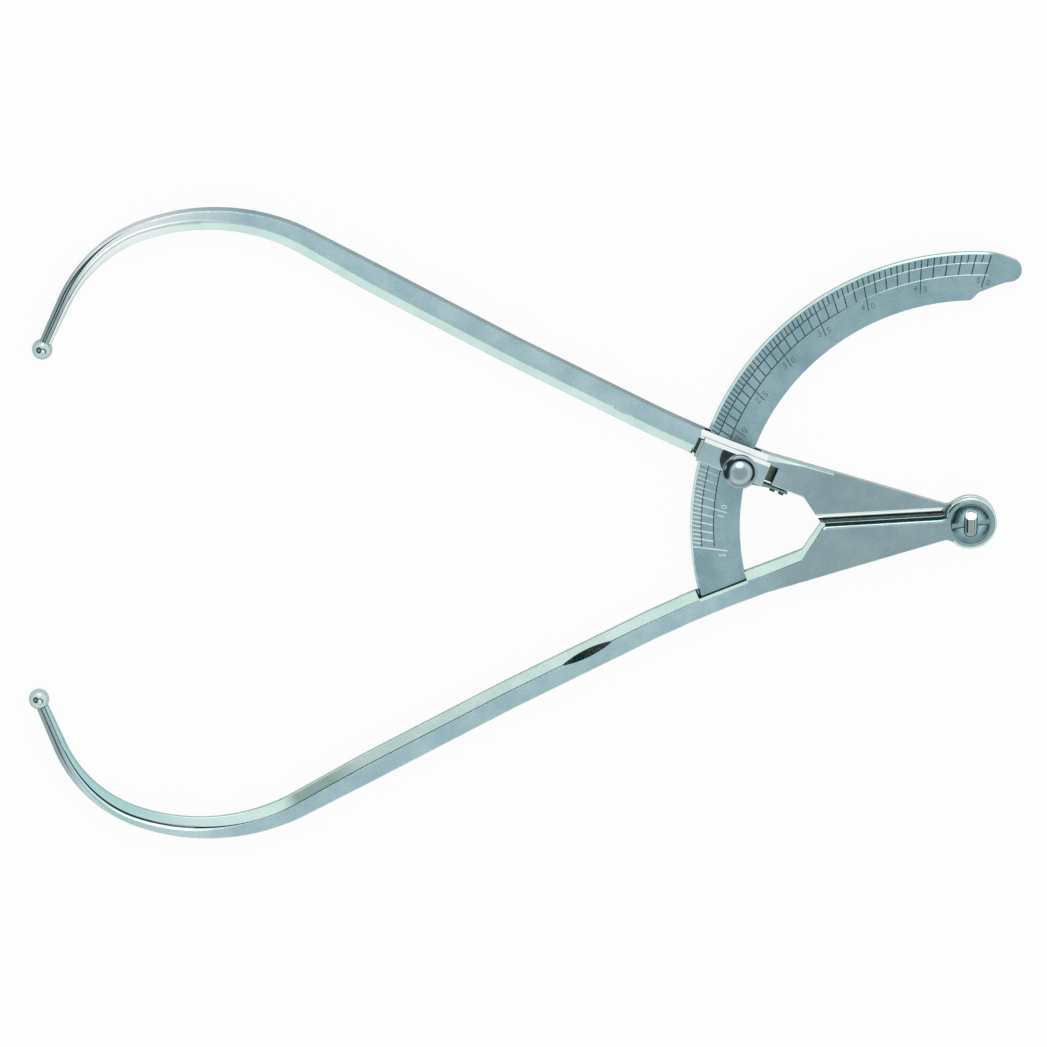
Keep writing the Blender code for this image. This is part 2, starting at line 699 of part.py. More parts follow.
def make_ball(name, side, parent=None):
    point, slope = line_point(LINE_LENGTH)
    bm = bmesh.new()
    bmesh.ops.create_uvsphere(bm, u_segments=BALL_ROUND_STEPS, v_segments=BALL_RISE_STEPS,
                              radius=BALL_RADIUS)
    place = (point.x, side * point.y, MIDDLE)
    ball = add_piece(name, finish_mesh(name, bm), polished_steel, parent, place)
    hole = stepped_rod_mesh("hole", ROD_DIAMETER, SPIGOT_DIAMETER / 2 + RUNNING_GAP,
                            -BALL_RADIUS - OVERRUN, -BALL_SEAT, SPIGOT_LENGTH - BALL_SEAT)
    direction = along(slope)
    towards = Vector((direction.x, side * direction.y, 0)).to_track_quat("Z", "Y")
    hole.transform(towards.to_matrix().to_4x4())
    cut(ball, hole, parent, place)


def make_window_arm(axis, window):
    pocket_distance = line_at_radius(window_place(POCKET_END, 0).length)
    arm = arm_blank("window_arm", pocket_distance, pocket_distance)
    arm.parent = axis
    pocket = box_outline(POCKET_START, -POCKET_WALL_SIDE, POCKET_END, WALL + OVERRUN)
    cut(arm, prism_mesh("pocket", pocket, POCKET_FLOOR, FRONT + OVERRUN), window)
    slot_start = FOOT_FACE - SLOT_ROOM
    slot_end = LEG_FACE + SLOT_ROOM
    slot = box_outline(slot_start, -WALL - OVERRUN, slot_end, -POCKET_WALL_SIDE + EDGE_BREAK)
    cut(arm, prism_mesh("slot", slot, ARC_REAR - SLOT_FLOOR_GAP, ARC_FRONT + POCKET_FLOOR_GAP), window)
    head_room = COVER_SCREW_HEAD_RADIUS + RUNNING_GAP
    sink_top = REAR + COVER_SCREW_HEAD_HEIGHT + 2 * SEAT_GAP
    for name, side in cover_screws():
        hole = stepped_rod_mesh("hole", head_room, COVER_SCREW_RADIUS + RUNNING_GAP,
                                REAR - OVERRUN, sink_top, POCKET_FLOOR + OVERRUN)
        cut(arm, hole, window, (foot_middle(), side, 0))
    for name, back in leaf_screws():
        hole = rod_mesh("hole", LEAF_SCREW_RADIUS + RUNNING_GAP, -OVERRUN, LEAF_SCREW_BITE + CLEARANCE)
        hole.transform(Matrix.Rotation(math.pi / 2, 4, "X"))
        cut(arm, hole, window, (back, WALL, MIDDLE))


def foot_middle():
    return (FOOT_FACE + FOOT_END) / 2


def cover_screws():
    middle = (WALL - POCKET_WALL_SIDE) / 2
    shift = COVER_SCREW_SPACING / 2
    return (("cover_screw_outer", middle - shift), ("cover_screw_inner", middle + shift))


def make_cover(window):
    section_outline = [
        (-COVER_OUTER_SIDE, COVER_REAR),
        (COVER_INNER_SIDE, COVER_REAR),
        (COVER_INNER_SIDE, COVER_FRONT - EDGE_BREAK),
        (COVER_INNER_SIDE - EDGE_BREAK, COVER_FRONT),
        (-COVER_OUTER_SIDE + COVER_CHAMFER, COVER_FRONT),
        (-COVER_OUTER_SIDE, COVER_FRONT - COVER_CHAMFER),
    ]
    plate_end = LEG_FACE + EDGE_BREAK
    rings = [[(back, side, level) for side, level in section_outline] for back in (FOOT_END, plate_end)]
    cover = add_piece("window_cover", rings_mesh("window_cover", rings), satin_plate, window)
    low = POCKET_FLOOR + SEAT_GAP
    leg_side = -POCKET_WALL_SIDE + CLEARANCE
    foot = box_outline(FOOT_END, leg_side, FOOT_FACE, WALL)
    join(cover, prism_mesh("foot", foot, low, COVER_REAR + EDGE_BREAK), window)
    leg = box_outline(LEG_FACE, leg_side, LEG_END, WALL)
    join(cover, prism_mesh("leg", leg, low, COVER_FRONT - LEG_TOP_DROP), window)
    bush_hole = rod_mesh("hole", BUSH_RADIUS + SEAT_GAP, COVER_REAR - OVERRUN, COVER_FRONT + OVERRUN,
                         MIDDLE_ROUND_STEPS)
    cut(cover, bush_hole, window, (screw_back(), SCREW_SIDE, 0))
    head_low = REAR + SEAT_GAP
    head_high = head_low + COVER_SCREW_HEAD_HEIGHT
    top = POCKET_FLOOR + COVER_SCREW_BITE
    radius = COVER_SCREW_RADIUS
    for name, side in cover_screws():
        place = (foot_middle(), side, 0)
        hole = rod_mesh("hole", radius + RUNNING_GAP, POCKET_FLOOR - OVERRUN, top + CLEARANCE)
        cut(cover, hole, window, place)
        screw = stepped_rod_mesh(name, COVER_SCREW_HEAD_RADIUS, radius, head_low, head_high, top)
        add_piece(name, screw, polished_steel, window, place)


def screw_back():
    return FOOT_FACE + SCREW_INSET


def make_clamp(window):
    plate_side = -POCKET_WALL_SIDE + CLEARANCE
    plate = box_outline(FOOT_FACE + CLEARANCE, plate_side, LEG_FACE - CLEARANCE, WALL)
    plate_mesh = prism_mesh("pressure_plate", plate, PLATE_REAR, PLATE_FRONT)
    add_piece("pressure_plate", plate_mesh, polished_steel, window)
    bore = SCREW_RADIUS + RUNNING_GAP
    collar_low = COVER_FRONT + SEAT_GAP
    collar_high = collar_low + BUSH_COLLAR_HEIGHT
    bush_low = COVER_REAR + SEAT_GAP
    bush = [(bore, bush_low), (BUSH_RADIUS, bush_low), (BUSH_RADIUS, collar_low)]
    bush += [(BUSH_COLLAR_RADIUS, collar_low), (BUSH_COLLAR_RADIUS, collar_high), (bore, collar_high)]
    place = (screw_back(), SCREW_SIDE, 0)
    bush_mesh = turned_mesh("threaded_bush", bush, MIDDLE_ROUND_STEPS)
    add_piece("threaded_bush", bush_mesh, brass_bush, window, place)
    neck_low = collar_high + PLATE_TRAVEL + CLEARANCE
    neck_high = neck_low + KNOB_NECK_HEIGHT
    rim_low = neck_high + KNOB_FLARE_HEIGHT
    rim_high = rim_low + KNOB_RIM_HEIGHT
    tip = PLATE_FRONT + SEAT_GAP
    profile = [(0, tip), (SCREW_RADIUS, tip), (SCREW_RADIUS, neck_low), (KNOB_NECK_RADIUS, neck_low)]
    profile += [(KNOB_NECK_RADIUS, neck_high), (KNOB_RADIUS, rim_low), (KNOB_RADIUS, rim_high)]
    for step in range(1, DOME_STEPS):
        angle = math.pi / 2 * step / DOME_STEPS
        profile.append((KNOB_RADIUS * math.cos(angle), rim_high + KNOB_DOME_HEIGHT * math.sin(angle)))
    profile.append((0, rim_high + KNOB_DOME_HEIGHT))
    axis = add_axis("thumb_screw_axis", place)
    axis.parent = window
    screw = turned_mesh("thumb_screw", profile, MIDDLE_ROUND_STEPS)
    add_piece("thumb_screw", screw, polished_steel, axis)


def leaf_tip():
    return window_reach(ARC_INNER_RADIUS, WALL + LEAF_TIP_WIDTH) - CLEARANCE


def leaf_screws():
    first = leaf_tip() - LEAF_LENGTH + LEAF_SCREW_INSET
    return (("spring_screw_outer", first + LEAF_SCREW_SPACING), ("spring_screw_inner", first))


def make_leaf_spring(window):
    near = WALL + CLEARANCE
    tip = leaf_tip()
    start = tip - LEAF_LENGTH
    fixed_end = leaf_screws()[0][1] + 2 * LEAF_SCREW_RADIUS
    outline = [(start, near), (tip, near), (tip, near + LEAF_TIP_WIDTH)]
    outline += [(fixed_end, near + LEAF_THICKNESS), (start, near + LEAF_THICKNESS)]
    low = MIDDLE - LEAF_HEIGHT / 2
    mesh = prism_mesh("leaf_spring", outline, low, low + LEAF_HEIGHT)
    leaf = add_piece("leaf_spring", mesh, blued_spring, window)
    head_low = near + LEAF_THICKNESS + SEAT_GAP
    for name, back in leaf_screws():
        hole = rod_mesh("hole", LEAF_SCREW_RADIUS + RUNNING_GAP, -OVERRUN, OVERRUN)
        hole.transform(Matrix.Rotation(math.pi / 2, 4, "X"))
        cut(leaf, hole, window, (back, near + LEAF_THICKNESS / 2, MIDDLE))
        profile = [(0, WALL - LEAF_SCREW_BITE), (LEAF_SCREW_RADIUS, WALL - LEAF_SCREW_BITE)]
        profile += [(LEAF_SCREW_RADIUS, head_low), (LEAF_SCREW_HEAD_RADIUS, head_low)]
        profile += [(LEAF_SCREW_HEAD_RADIUS, head_low + LEAF_SCREW_HEAD_HEIGHT)]
        profile += [(0, head_low + LEAF_SCREW_HEAD_HEIGHT)]
        screw = turned_mesh(name, profile, SMALL_ROUND_STEPS)
        screw.transform(Matrix.Rotation(-math.pi / 2, 4, "X"))
        add_piece(name, screw, polished_steel, window, (back, 0, MIDDLE))


clear_scene()
satin_plate = metal("satin nickel plate", (0.52, 0.60, 0.63), 0.28)
polished_steel = metal("polished steel", (0.72, 0.76, 0.76), 0.12)
blued_spring = metal("dull spring steel", (0.34, 0.40, 0.41), 0.35)
brass_bush = metal("plated brass", (0.62, 0.66, 0.64), 0.20)

make_scale_arm()
make_arc()
make_ball("scale_arm_ball", -1)
make_pivot()

opening_axis = add_axis("opening_axis")
window_frame = add_axis("window_frame", (*WINDOW_POINT, 0), math.pi - WINDOW_SLOPE)
window_frame.parent = opening_axis
bpy.context.view_layer.update()
make_window_arm(opening_axis, window_frame)
make_ball("window_arm_ball", 1, opening_axis)
make_cover(window_frame)
make_clamp(window_frame)
make_leaf_spring(window_frame)
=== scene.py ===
import math
import bmesh
import bpy
from mathutils import Matrix, Vector


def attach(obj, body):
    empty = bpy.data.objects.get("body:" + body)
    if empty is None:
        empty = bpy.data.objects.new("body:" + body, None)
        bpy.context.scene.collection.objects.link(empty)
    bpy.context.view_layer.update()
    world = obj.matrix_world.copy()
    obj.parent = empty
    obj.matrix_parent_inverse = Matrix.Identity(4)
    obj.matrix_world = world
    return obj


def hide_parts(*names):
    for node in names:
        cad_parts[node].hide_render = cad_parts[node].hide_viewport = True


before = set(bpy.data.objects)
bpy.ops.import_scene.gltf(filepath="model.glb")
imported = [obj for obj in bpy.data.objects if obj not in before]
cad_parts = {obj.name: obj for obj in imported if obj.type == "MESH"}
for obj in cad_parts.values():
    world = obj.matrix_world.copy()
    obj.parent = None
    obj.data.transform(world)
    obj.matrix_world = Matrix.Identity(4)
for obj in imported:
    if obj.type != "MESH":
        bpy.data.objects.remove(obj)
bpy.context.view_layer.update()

# Camera: nearly square on to the front face, tilted a little to the window arm's side and to the tips.
# It stands far off, so that the two arms show in their true shapes.
CAMERA_DISTANCE = 8.0
CAMERA_TILT = math.radians(17.0)
CAMERA_SWING = math.radians(12.0)
CAMERA_ROLL = math.radians(-0.19)
CAMERA_TARGET = Vector((-0.1513, 0.0006, 0.0062))
CAMERA_REACH = 100
FRAME_WIDTH = 0.3531
SENSOR_WIDTH = 36.0


def aim_camera():
    towards = Vector((-math.sin(CAMERA_SWING), math.cos(CAMERA_SWING), 0)) * math.sin(CAMERA_TILT)
    towards.z = math.cos(CAMERA_TILT)
    right = Vector((math.cos(CAMERA_ROLL), math.sin(CAMERA_ROLL), 0))
    right = (right - towards * right.dot(towards)).normalized()
    up = towards.cross(right)
    place = Matrix((right, up, towards)).transposed().to_4x4()
    place.translation = CAMERA_TARGET + towards * CAMERA_DISTANCE
    data = bpy.data.cameras.new("camera")
    data.sensor_width = SENSOR_WIDTH
    data.lens = SENSOR_WIDTH * CAMERA_DISTANCE / FRAME_WIDTH
    data.clip_end = CAMERA_REACH
    camera = bpy.data.objects.new("camera", data)
    bpy.context.collection.objects.link(camera)
    camera.matrix_world = place
    bpy.context.scene.camera = camera


aim_camera()
bpy.context.scene.view_settings.view_transform = "Standard"

# Studio: a white sheet under the instrument and an even white tent round it. A dark bow across the
# top of the tent, with a gleam inside it, gives the polished edges their dark and bright lines.
SHEET_SIZE = 4.0
SHEET_WHITE = (1.0, 1.0, 1.0)
SHEET_GLOW = 0.93
TENT_WHITE = (1.0, 1.0, 1.0)
TOP_GREY = (0.80, 0.83, 0.84)
LAMP_WHITE = (3.5, 3.5, 3.5)
GLEAM_WHITE = (1.4, 1.4, 1.4)
SIDE_WHITE = (1.5, 1.5, 1.5)
BOW_DARK = (0.010, 0.035, 0.035)
FLANK_DARK = (0.04, 0.08, 0.08)
BOW_CENTRE = Vector((0.06, -0.286, 0.956))
GLEAM_RING = (11, 14, 18, 22)
BOW_RING = (22, 26, 36, 42)
BOW_END = (-0.30, -0.14)
BOW_FADE = (-0.62, -0.50)
BOW_FAINT = 0.35
LAMP_CENTRE = Vector((0.05, -0.03, 1))
LAMP_SPOT = (4, 8)
SIDE_CENTRE = Vector((0, 1, 0.42))
FLANK_CENTRE = Vector((-0.66, -0.02, 0.75))
# Centre of each light or dark spot of the tent, the angles that it fades between, and its tone
TENT_SPOTS = (
    (SIDE_CENTRE, (14, 24), SIDE_WHITE),
    (FLANK_CENTRE, (31, 37), FLANK_DARK),
    (FLANK_CENTRE, (5, 9), GLEAM_WHITE),
    (BOW_CENTRE, (8, 12), TOP_GREY),
)


def feed(tree, value, socket):
    """Link a socket to another node's output, or set it to a number or a colour."""
    if hasattr(value, "links"):
        tree.links.new(value, socket)
    elif socket.type == "RGBA":
        socket.default_value = (*value, 1)
    else:
        socket.default_value = value


def add_node(tree, kind, inputs, output=0, **settings):
    """Add a shader node, feed its inputs and give back one of its outputs."""
    node = tree.nodes.new("ShaderNode" + kind)
    for name, setting in settings.items():
        setattr(node, name, setting)
    for name, value in inputs.items():
        feed(tree, value, node.inputs[name])
    return node.outputs[output]


def product(tree, first, second):
    return add_node(tree, "Math", {0: first, 1: second}, operation="MULTIPLY")


def tinted(tree, colour, share, other):
    """Blend a colour towards another by a share."""
    return add_node(tree, "Mix", {"Factor": share, "A": colour, "B": other}, "Result", data_type="RGBA")


def ranged(tree, value, start, end, low=0, high=1, **settings):
    """Goes from start to end as a value goes from low to high."""
    limits = {"Value": value, "From Min": low, "From Max": high, "To Min": start, "To Max": end}
    return add_node(tree, "MapRange", limits, **settings)


def rising(tree, value, low, high):
    return ranged(tree, value, 0, 1, low, high, interpolation_type="SMOOTHSTEP")


def falling(tree, value, low, high):
    return ranged(tree, value, 1, 0, low, high, interpolation_type="SMOOTHSTEP")


def place_along(tree, axis, coordinates="Object"):
    """How far a point lies along X or Y."""
    return add_node(tree, "SeparateXYZ", {0: add_node(tree, "TexCoord", {}, coordinates)}, axis)


def nearness(tree, towards, near, far):
    """One where a direction is within one angle of another, none beyond a second angle."""
    where = add_node(tree, "TexCoord", {}, "Generated")
    towards = towards.normalized()
    facing = add_node(tree, "VectorMath", {0: where, 1: towards}, "Value", operation="DOT_PRODUCT")
    return rising(tree, facing, math.cos(math.radians(far)), math.cos(math.radians(near)))


def ring_share(tree, towards, ring):
    """One inside a ring round a direction: it rises and falls between the ring's four angles."""
    hole = nearness(tree, towards, *ring[:2])
    disc = nearness(tree, towards, *ring[2:])
    return add_node(tree, "Math", {0: disc, 1: hole}, operation="SUBTRACT")


def lay_sheet():
    bpy.ops.object.select_all(action="DESELECT")
    bpy.ops.mesh.primitive_plane_add(size=SHEET_SIZE, location=(0, 0, 0))
    sheet = bpy.context.object
    sheet.name = "white_sheet"
    material = bpy.data.materials.new("white sheet")
    material.use_nodes = True
    tree = material.node_tree
    shader = tree.nodes["Principled BSDF"]
    for name, value in (("Base Color", SHEET_WHITE), ("Roughness", 1), ("Specular IOR Level", 0)):
        feed(tree, value, shader.inputs[name])
    share = product(tree, add_node(tree, "LightPath", {}, "Is Camera Ray"), SHEET_GLOW)
    glow = add_node(tree, "Emission", {"Color": SHEET_WHITE})
    both = add_node(tree, "MixShader", {"Fac": share, 1: shader.outputs[0], 2: glow})
    feed(tree, both, tree.nodes["Material Output"].inputs["Surface"])
    sheet.data.materials.append(material)


def raise_tent():
    world = bpy.data.worlds.new("white tent")
    bpy.context.scene.world = world
    world.use_nodes = True
    tree = world.node_tree
    tone = TENT_WHITE
    for centre, spot, shade in TENT_SPOTS:
        tone = tinted(tree, tone, nearness(tree, centre, *spot), shade)
    open_end = rising(tree, place_along(tree, "X", "Generated"), *BOW_END)
    full = rising(tree, place_along(tree, "Y", "Generated"), *BOW_FADE)
    part = product(tree, open_end, ranged(tree, full, BOW_FAINT, 1))
    tone = tinted(tree, tone, product(tree, ring_share(tree, BOW_CENTRE, GLEAM_RING), open_end), GLEAM_WHITE)
    tone = tinted(tree, tone, product(tree, ring_share(tree, BOW_CENTRE, BOW_RING), part), BOW_DARK)
    tone = tinted(tree, tone, nearness(tree, LAMP_CENTRE, *LAMP_SPOT), LAMP_WHITE)
    tone = tinted(tree, tone, add_node(tree, "LightPath", {}, "Is Camera Ray"), TENT_WHITE)
    feed(tree, tone, tree.nodes["Background"].inputs["Color"])


lay_sheet()
raise_tent()

# Scale arm, the lower one: a steel forging, its front ground flat and its inner edge bevelled, that
# runs out into a round rod. Plated all over: the flats are satin, the bevels and the rod are bright.
CLEARANCE = 0.0003
SEAT_GAP = 0.0001
RUNNING_GAP = 0.0001
OVERRUN = 0.002
EDGE_BREAK = 0.0003
ARM_THICKNESS = 0.0054
LAP_GAP = 0.0002
BAR_START_BACK = 0.0703
BAR_START_SIDE = 0.0198
BAR_START_SLOPE = math.radians(20.0)
SWEEP_RADIUS = 0.360
SWEEP_TURN = math.radians(6.4)
FLANK_RADIUS = 2.300
FLANK_TURN = math.radians(2.7)
STRAIGHT_LENGTH = 0.0254
CROWN_RADIUS = 0.0667
CROWN_TURN = math.radians(49.5)
HOOK_RADIUS = 0.0453
HOOK_TURN = math.radians(46.0)
PRONG_LENGTH = 0.0184
BAR_WIDTH = 0.00935
BEVEL_WIDTH = 0.0033
BEVEL_DEPTH = 0.0018
ROD_DIAMETER = 0.0041
SPIGOT_DIAMETER = 0.0026
SPIGOT_LENGTH = 0.0038
BALL_RADIUS = 0.0035
EYE_RADIUS = 0.00895
EYE_RIM_WIDTH = 0.0011
EYE_RIM_DEPTH = 0.0006
EYE_RIM_STEPS = 6
EYE_RIM_TURN = math.radians(60)
LAP_EDGE_BREAK = 0.0003
NECK_BACK = 0.0105
NECK_OUTER_SIDE = 0.0065
NECK_INNER_SIDE = 0.0026
NECK_FILLET = 0.0032
NECK_BEVEL_WIDTH = 0.0018
NECK_BEVEL_DEPTH = 0.0005
MITRE_LENGTH = 0.0012
CORNER_SIDE = 0.0003
SHOULDER_SIDE = 0.0095
SHOULDER_LENGTH = 0.0133
DIAGONAL_LENGTH = 0.0065
DIAGONAL_BEVEL_WIDTH = 0.0024
CLOSING_ANGLE = math.radians(18.0)
HEAD_RADIUS = 0.00665
RECESS_DEPTH = 0.0013
SHANK_RADIUS = 0.0047
WINDOW_BEVEL_WIDTH = 0.0017
WINDOW_BEVEL_DEPTH = 0.0014
RING_TURN = math.radians(2.5)
FILLET_STEPS = 8
ROUND_STEPS = 96
SMALL_STEPS = 32
HALVINGS = 40
BREAK_STEPS = 2
BREAK_SHARPNESS = math.radians(35)
SMOOTH_SHARPNESS = math.radians(30)
# Rounding of each edge of the section and the turns it is drawn with, from the outer rear edge on
EDGE_ROUNDING = (0.00028, 0.00030, 0.00030, 0.00110, 0.00050, 0.00050, 0.00110)
HOOK_ROUNDING = (0.00028, 0.00030, 0.00030, 0.00550, 0.00080, 0.00080, 0.00550)
NECK_ROUNDING = (0.00028, 0.00030, 0.00030, 0.00600, 0.00020, 0.00020, 0.00600)
EDGE_SHARES = (0.42, 0.42, 0.30, 0.66, 0.30, 0.30, 0.66)
EDGE_STEPS = (12, 6, 6, 8, 10, 10, 8)

MIDDLE = BALL_RADIUS
REAR = MIDDLE - ARM_THICKNESS / 2
FRONT = MIDDLE + ARM_THICKNESS / 2
LAP_LEVEL = MIDDLE - LAP_GAP / 2
BALL_SEAT = math.sqrt(BALL_RADIUS ** 2 - (ROD_DIAMETER / 2) ** 2)
SHOULDER_BACK = BAR_START_BACK - SHOULDER_LENGTH
CORNER_BACK = SHOULDER_BACK - DIAGONAL_LENGTH
STRETCHES = [
    (SWEEP_RADIUS * SWEEP_TURN, 1 / SWEEP_RADIUS),
    (FLANK_RADIUS * FLANK_TURN, 1 / FLANK_RADIUS),
    (STRAIGHT_LENGTH, 0),
    (CROWN_RADIUS * CROWN_TURN, -1 / CROWN_RADIUS),
    (HOOK_RADIUS * HOOK_TURN, -1 / HOOK_RADIUS),
    (PRONG_LENGTH, 0),
]
CROWN_START = sum(length for length, curvature in STRETCHES[:3])
CROWN_MIDDLE = CROWN_START + STRETCHES[3][0] / 2
SOFT_START = -0.236
SOFT_LENGTH = 0.030
HOOK_LINE_START = CROWN_START + STRETCHES[3][0]
PRONG_START = HOOK_LINE_START + STRETCHES[4][0]
TAPER_START = CROWN_START - STRAIGHT_LENGTH
LINE_LENGTH = sum(length for length, curvature in STRETCHES)


def polar(radius, angle):
    return Vector((radius * math.cos(angle), radius * math.sin(angle)))


def between(first, last, share):
    return first + (last - first) * share


def held(share):
    return min(max(share, 0), 1)


def eased(share):
    share = held(share)
    return share * share * (3 - 2 * share)


def line_point(distance):
    """Point and slope of the window arm's line at a distance along it. The slope is measured from -X."""
    x = -BAR_START_BACK
    y = BAR_START_SIDE
    slope = BAR_START_SLOPE
    for number, (length, curvature) in enumerate(STRETCHES):
        last = number == len(STRETCHES) - 1
        run = distance if last else min(distance, length)
        end_slope = slope + curvature * run
        if curvature:
            x -= (math.sin(end_slope) - math.sin(slope)) / curvature
            y += (math.cos(slope) - math.cos(end_slope)) / curvature
        else:
            x -= run * math.cos(slope)
            y += run * math.sin(slope)
        slope = end_slope
        distance -= run
        if distance <= 0:
            break
    return Vector((x, y)), slope


def line_at_radius(radius):
    """Distance along the line at which it is a given radius from the pivot."""
    low = 0
    high = CROWN_MIDDLE
    for halving in range(HALVINGS):
        middle = (low + high) / 2
        if line_point(middle)[0].length < radius:
            low = middle
        else:
            high = middle
    return low


def outward(slope):
    return Vector((math.sin(slope), math.cos(slope)))


def along(slope):
    return Vector((-math.cos(slope), math.sin(slope)))


def section_ring(inner, outer, thickness, inner_bevel, outer_bevel, roundness, roundings=EDGE_ROUNDING):
    """Ring of points across an arm: a bar with bevelled, softly rounded edges that becomes a round rod."""
    width = (outer - inner).length
    bevel, depth = inner_bevel
    chamfer, fall = outer_bevel
    rear = MIDDLE - thickness / 2
    front = MIDDLE + thickness / 2
    corners = [
        Vector((width, rear)),
        Vector((width, front - fall)),
        Vector((width - chamfer, front)),
        Vector((bevel, front)),
        Vector((0, front - depth)),
        Vector((0, rear + depth)),
        Vector((bevel, rear)),
    ]
    ring = []
    for number, corner in enumerate(corners):
        before = corner - corners[number - 1]
        after = corners[(number + 1) % len(corners)] - corner
        arriving = before.normalized()
        leaving = after.normalized()
        first = Vector((arriving.y, -arriving.x))
        last = Vector((leaving.y, -leaving.x))
        turn = math.acos(held(first.dot(last)))
        room = min(before.length, after.length)
        rounding = min(roundings[number], EDGE_SHARES[number] * room / math.tan(turn / 2))
        centre = corner - (first + last) * (rounding / (1 + first.dot(last)))
        start = math.atan2(first.y, first.x)
        for step in range(EDGE_STEPS[number] + 1):
            normal = polar(1, start + turn * step / EDGE_STEPS[number])
            bar = centre + normal * rounding
            rod = Vector((width / 2 * (1 + normal.x), MIDDLE + thickness / 2 * normal.y))
            point = between(bar, rod, roundness)
            place = inner + (outer - inner) * (point.x / width)
            ring.append((place.x, place.y, point.y))
    return ring


def from_bmesh(name, bm):
    """A piece made of the faces drawn in bm."""
    bmesh.ops.recalc_face_normals(bm, faces=bm.faces)
    mesh = bpy.data.meshes.new(name)
    bm.to_mesh(mesh)
    bm.free()
    piece = bpy.data.objects.new(name, mesh)
    bpy.context.collection.objects.link(piece)
    return piece


def draw_skin(bm, rings):
    """Draw a closed skin over rings of points."""
    loops = [[bm.verts.new(point) for point in ring] for ring in rings]
    for loop, following in zip(loops, loops[1:]):
        for number in range(len(loop)):
            after = (number + 1) % len(loop)
            bm.faces.new((loop[number], loop[after], following[after], following[number]))
    bm.faces.new(loops[0])
    bm.faces.new(loops[-1])


def skin(name, rings):
    bm = bmesh.new()
    draw_skin(bm, rings)
    return from_bmesh(name, bm)


def plate(name, outline, low, high, top_outline=None):
    """A flat outline in X and Y that goes from one height to another, to a second outline where given."""
    rings = []
    for points, level in ((outline, low), (top_outline or outline, high)):
        rings.append([(point[0], point[1], level) for point in points])
    return skin(name, rings)


def only(piece):
    """Make a piece the only selected one."""
    bpy.ops.object.select_all(action="DESELECT")
    piece.select_set(True)
    bpy.context.view_layer.objects.active = piece


def turned(name, profile, steps=ROUND_STEPS):
    """A round piece about Z: a filled circle, extruded and resized from one (radius, height) to the next."""
    bpy.ops.object.select_all(action="DESELECT")
    bpy.ops.mesh.primitive_circle_add(vertices=steps, radius=profile[0][0], fill_type="NGON",
                                      location=(0, 0, profile[0][1]))
    piece = bpy.context.object
    piece.name = name
    bpy.ops.object.transform_apply(location=True)
    bpy.ops.object.mode_set(mode="EDIT")
    bpy.ops.mesh.select_all(action="SELECT")
    for (radius, height), (next_radius, next_height) in zip(profile, profile[1:]):
        bpy.ops.mesh.extrude_region_move(TRANSFORM_OT_translate={"value": (0, 0, next_height - height)})
        growth = next_radius / radius
        bpy.ops.transform.resize(value=(growth, growth, 1), center_override=(0, 0, next_height))
    bpy.ops.mesh.select_all(action="SELECT")
    bpy.ops.mesh.normals_make_consistent(inside=False)
    bpy.ops.object.mode_set(mode="OBJECT")
    return piece


def stack(*parts):
    """Profile of a round piece made of cylinders, each given by its radius and its two levels."""
    return [(radius, level) for radius, *levels in parts for level in levels]


def rod(name, radius, low, high, steps=SMALL_STEPS):
    return turned(name, stack((radius, low, high)), steps)


def at(x, y, z=0):
    return Matrix.Translation((x, y, z))


def moved(piece, place):
    """Put a piece at its place, in its mesh."""
    piece.data.transform(place)
    return piece


def reshape(piece, tool, operation="DIFFERENCE"):
    """Cut a tool from a piece, or join it on, and drop the tool."""
    only(piece)
    change = piece.modifiers.new("reshape", "BOOLEAN")
    change.operation = operation
    change.solver = "EXACT"
    change.object = tool
    bpy.ops.object.modifier_apply(modifier=change.name)
    bpy.data.objects.remove(tool)


def break_edges(piece, width):
    """Round every sharp edge a little."""
    only(piece)
    change = piece.modifiers.new("broken edges", "BEVEL")
    change.width = width
    change.segments = BREAK_STEPS
    change.limit_method = "ANGLE"
    change.angle_limit = BREAK_SHARPNESS
    change.use_clamp_overlap = True
    bpy.ops.object.modifier_apply(modifier=change.name)


def smooth_piece(piece, sharpest=SMOOTH_SHARPNESS, weigh=True):
    """Smooth faces, with flat faces kept flat and sharp edges kept sharp."""
    only(piece)
    bpy.ops.object.shade_smooth_by_angle(angle=sharpest)
    if weigh:
        change = piece.modifiers.new("flat faces stay flat", "WEIGHTED_NORMAL")
        change.keep_sharp = True
        bpy.ops.object.modifier_apply(modifier=change.name)


def neck_fillet(start, end, side):
    """Points of the fillet where a plate edge runs into the eye, from the edge to the eye."""
    direction = (end - start).normalized()
    away = Vector((-direction.y, direction.x)) * side
    base = start + away * NECK_FILLET
    reach = EYE_RADIUS + NECK_FILLET
    shift = -base.dot(direction) - math.sqrt(base.dot(direction) ** 2 - base.length_squared + reach ** 2)
    centre = base + direction * shift
    first = -away
    last = -centre.normalized()
    turn = first.angle_signed(last)
    points = []
    for step in range(FILLET_STEPS + 1):
        spoke = Matrix.Rotation(-turn * step / FILLET_STEPS, 2) @ first
        points.append(centre + spoke * NECK_FILLET)
    return points


def bar_ends(distance):
    """Inner and outer edge points of the bar, which narrows from the flank to the rod."""
    point, slope = line_point(distance)
    share = held((distance - TAPER_START) / (LINE_LENGTH - TAPER_START))
    half = outward(slope) * (between(BAR_WIDTH, ROD_DIAMETER, share) / 2)
    return point - half, point + half


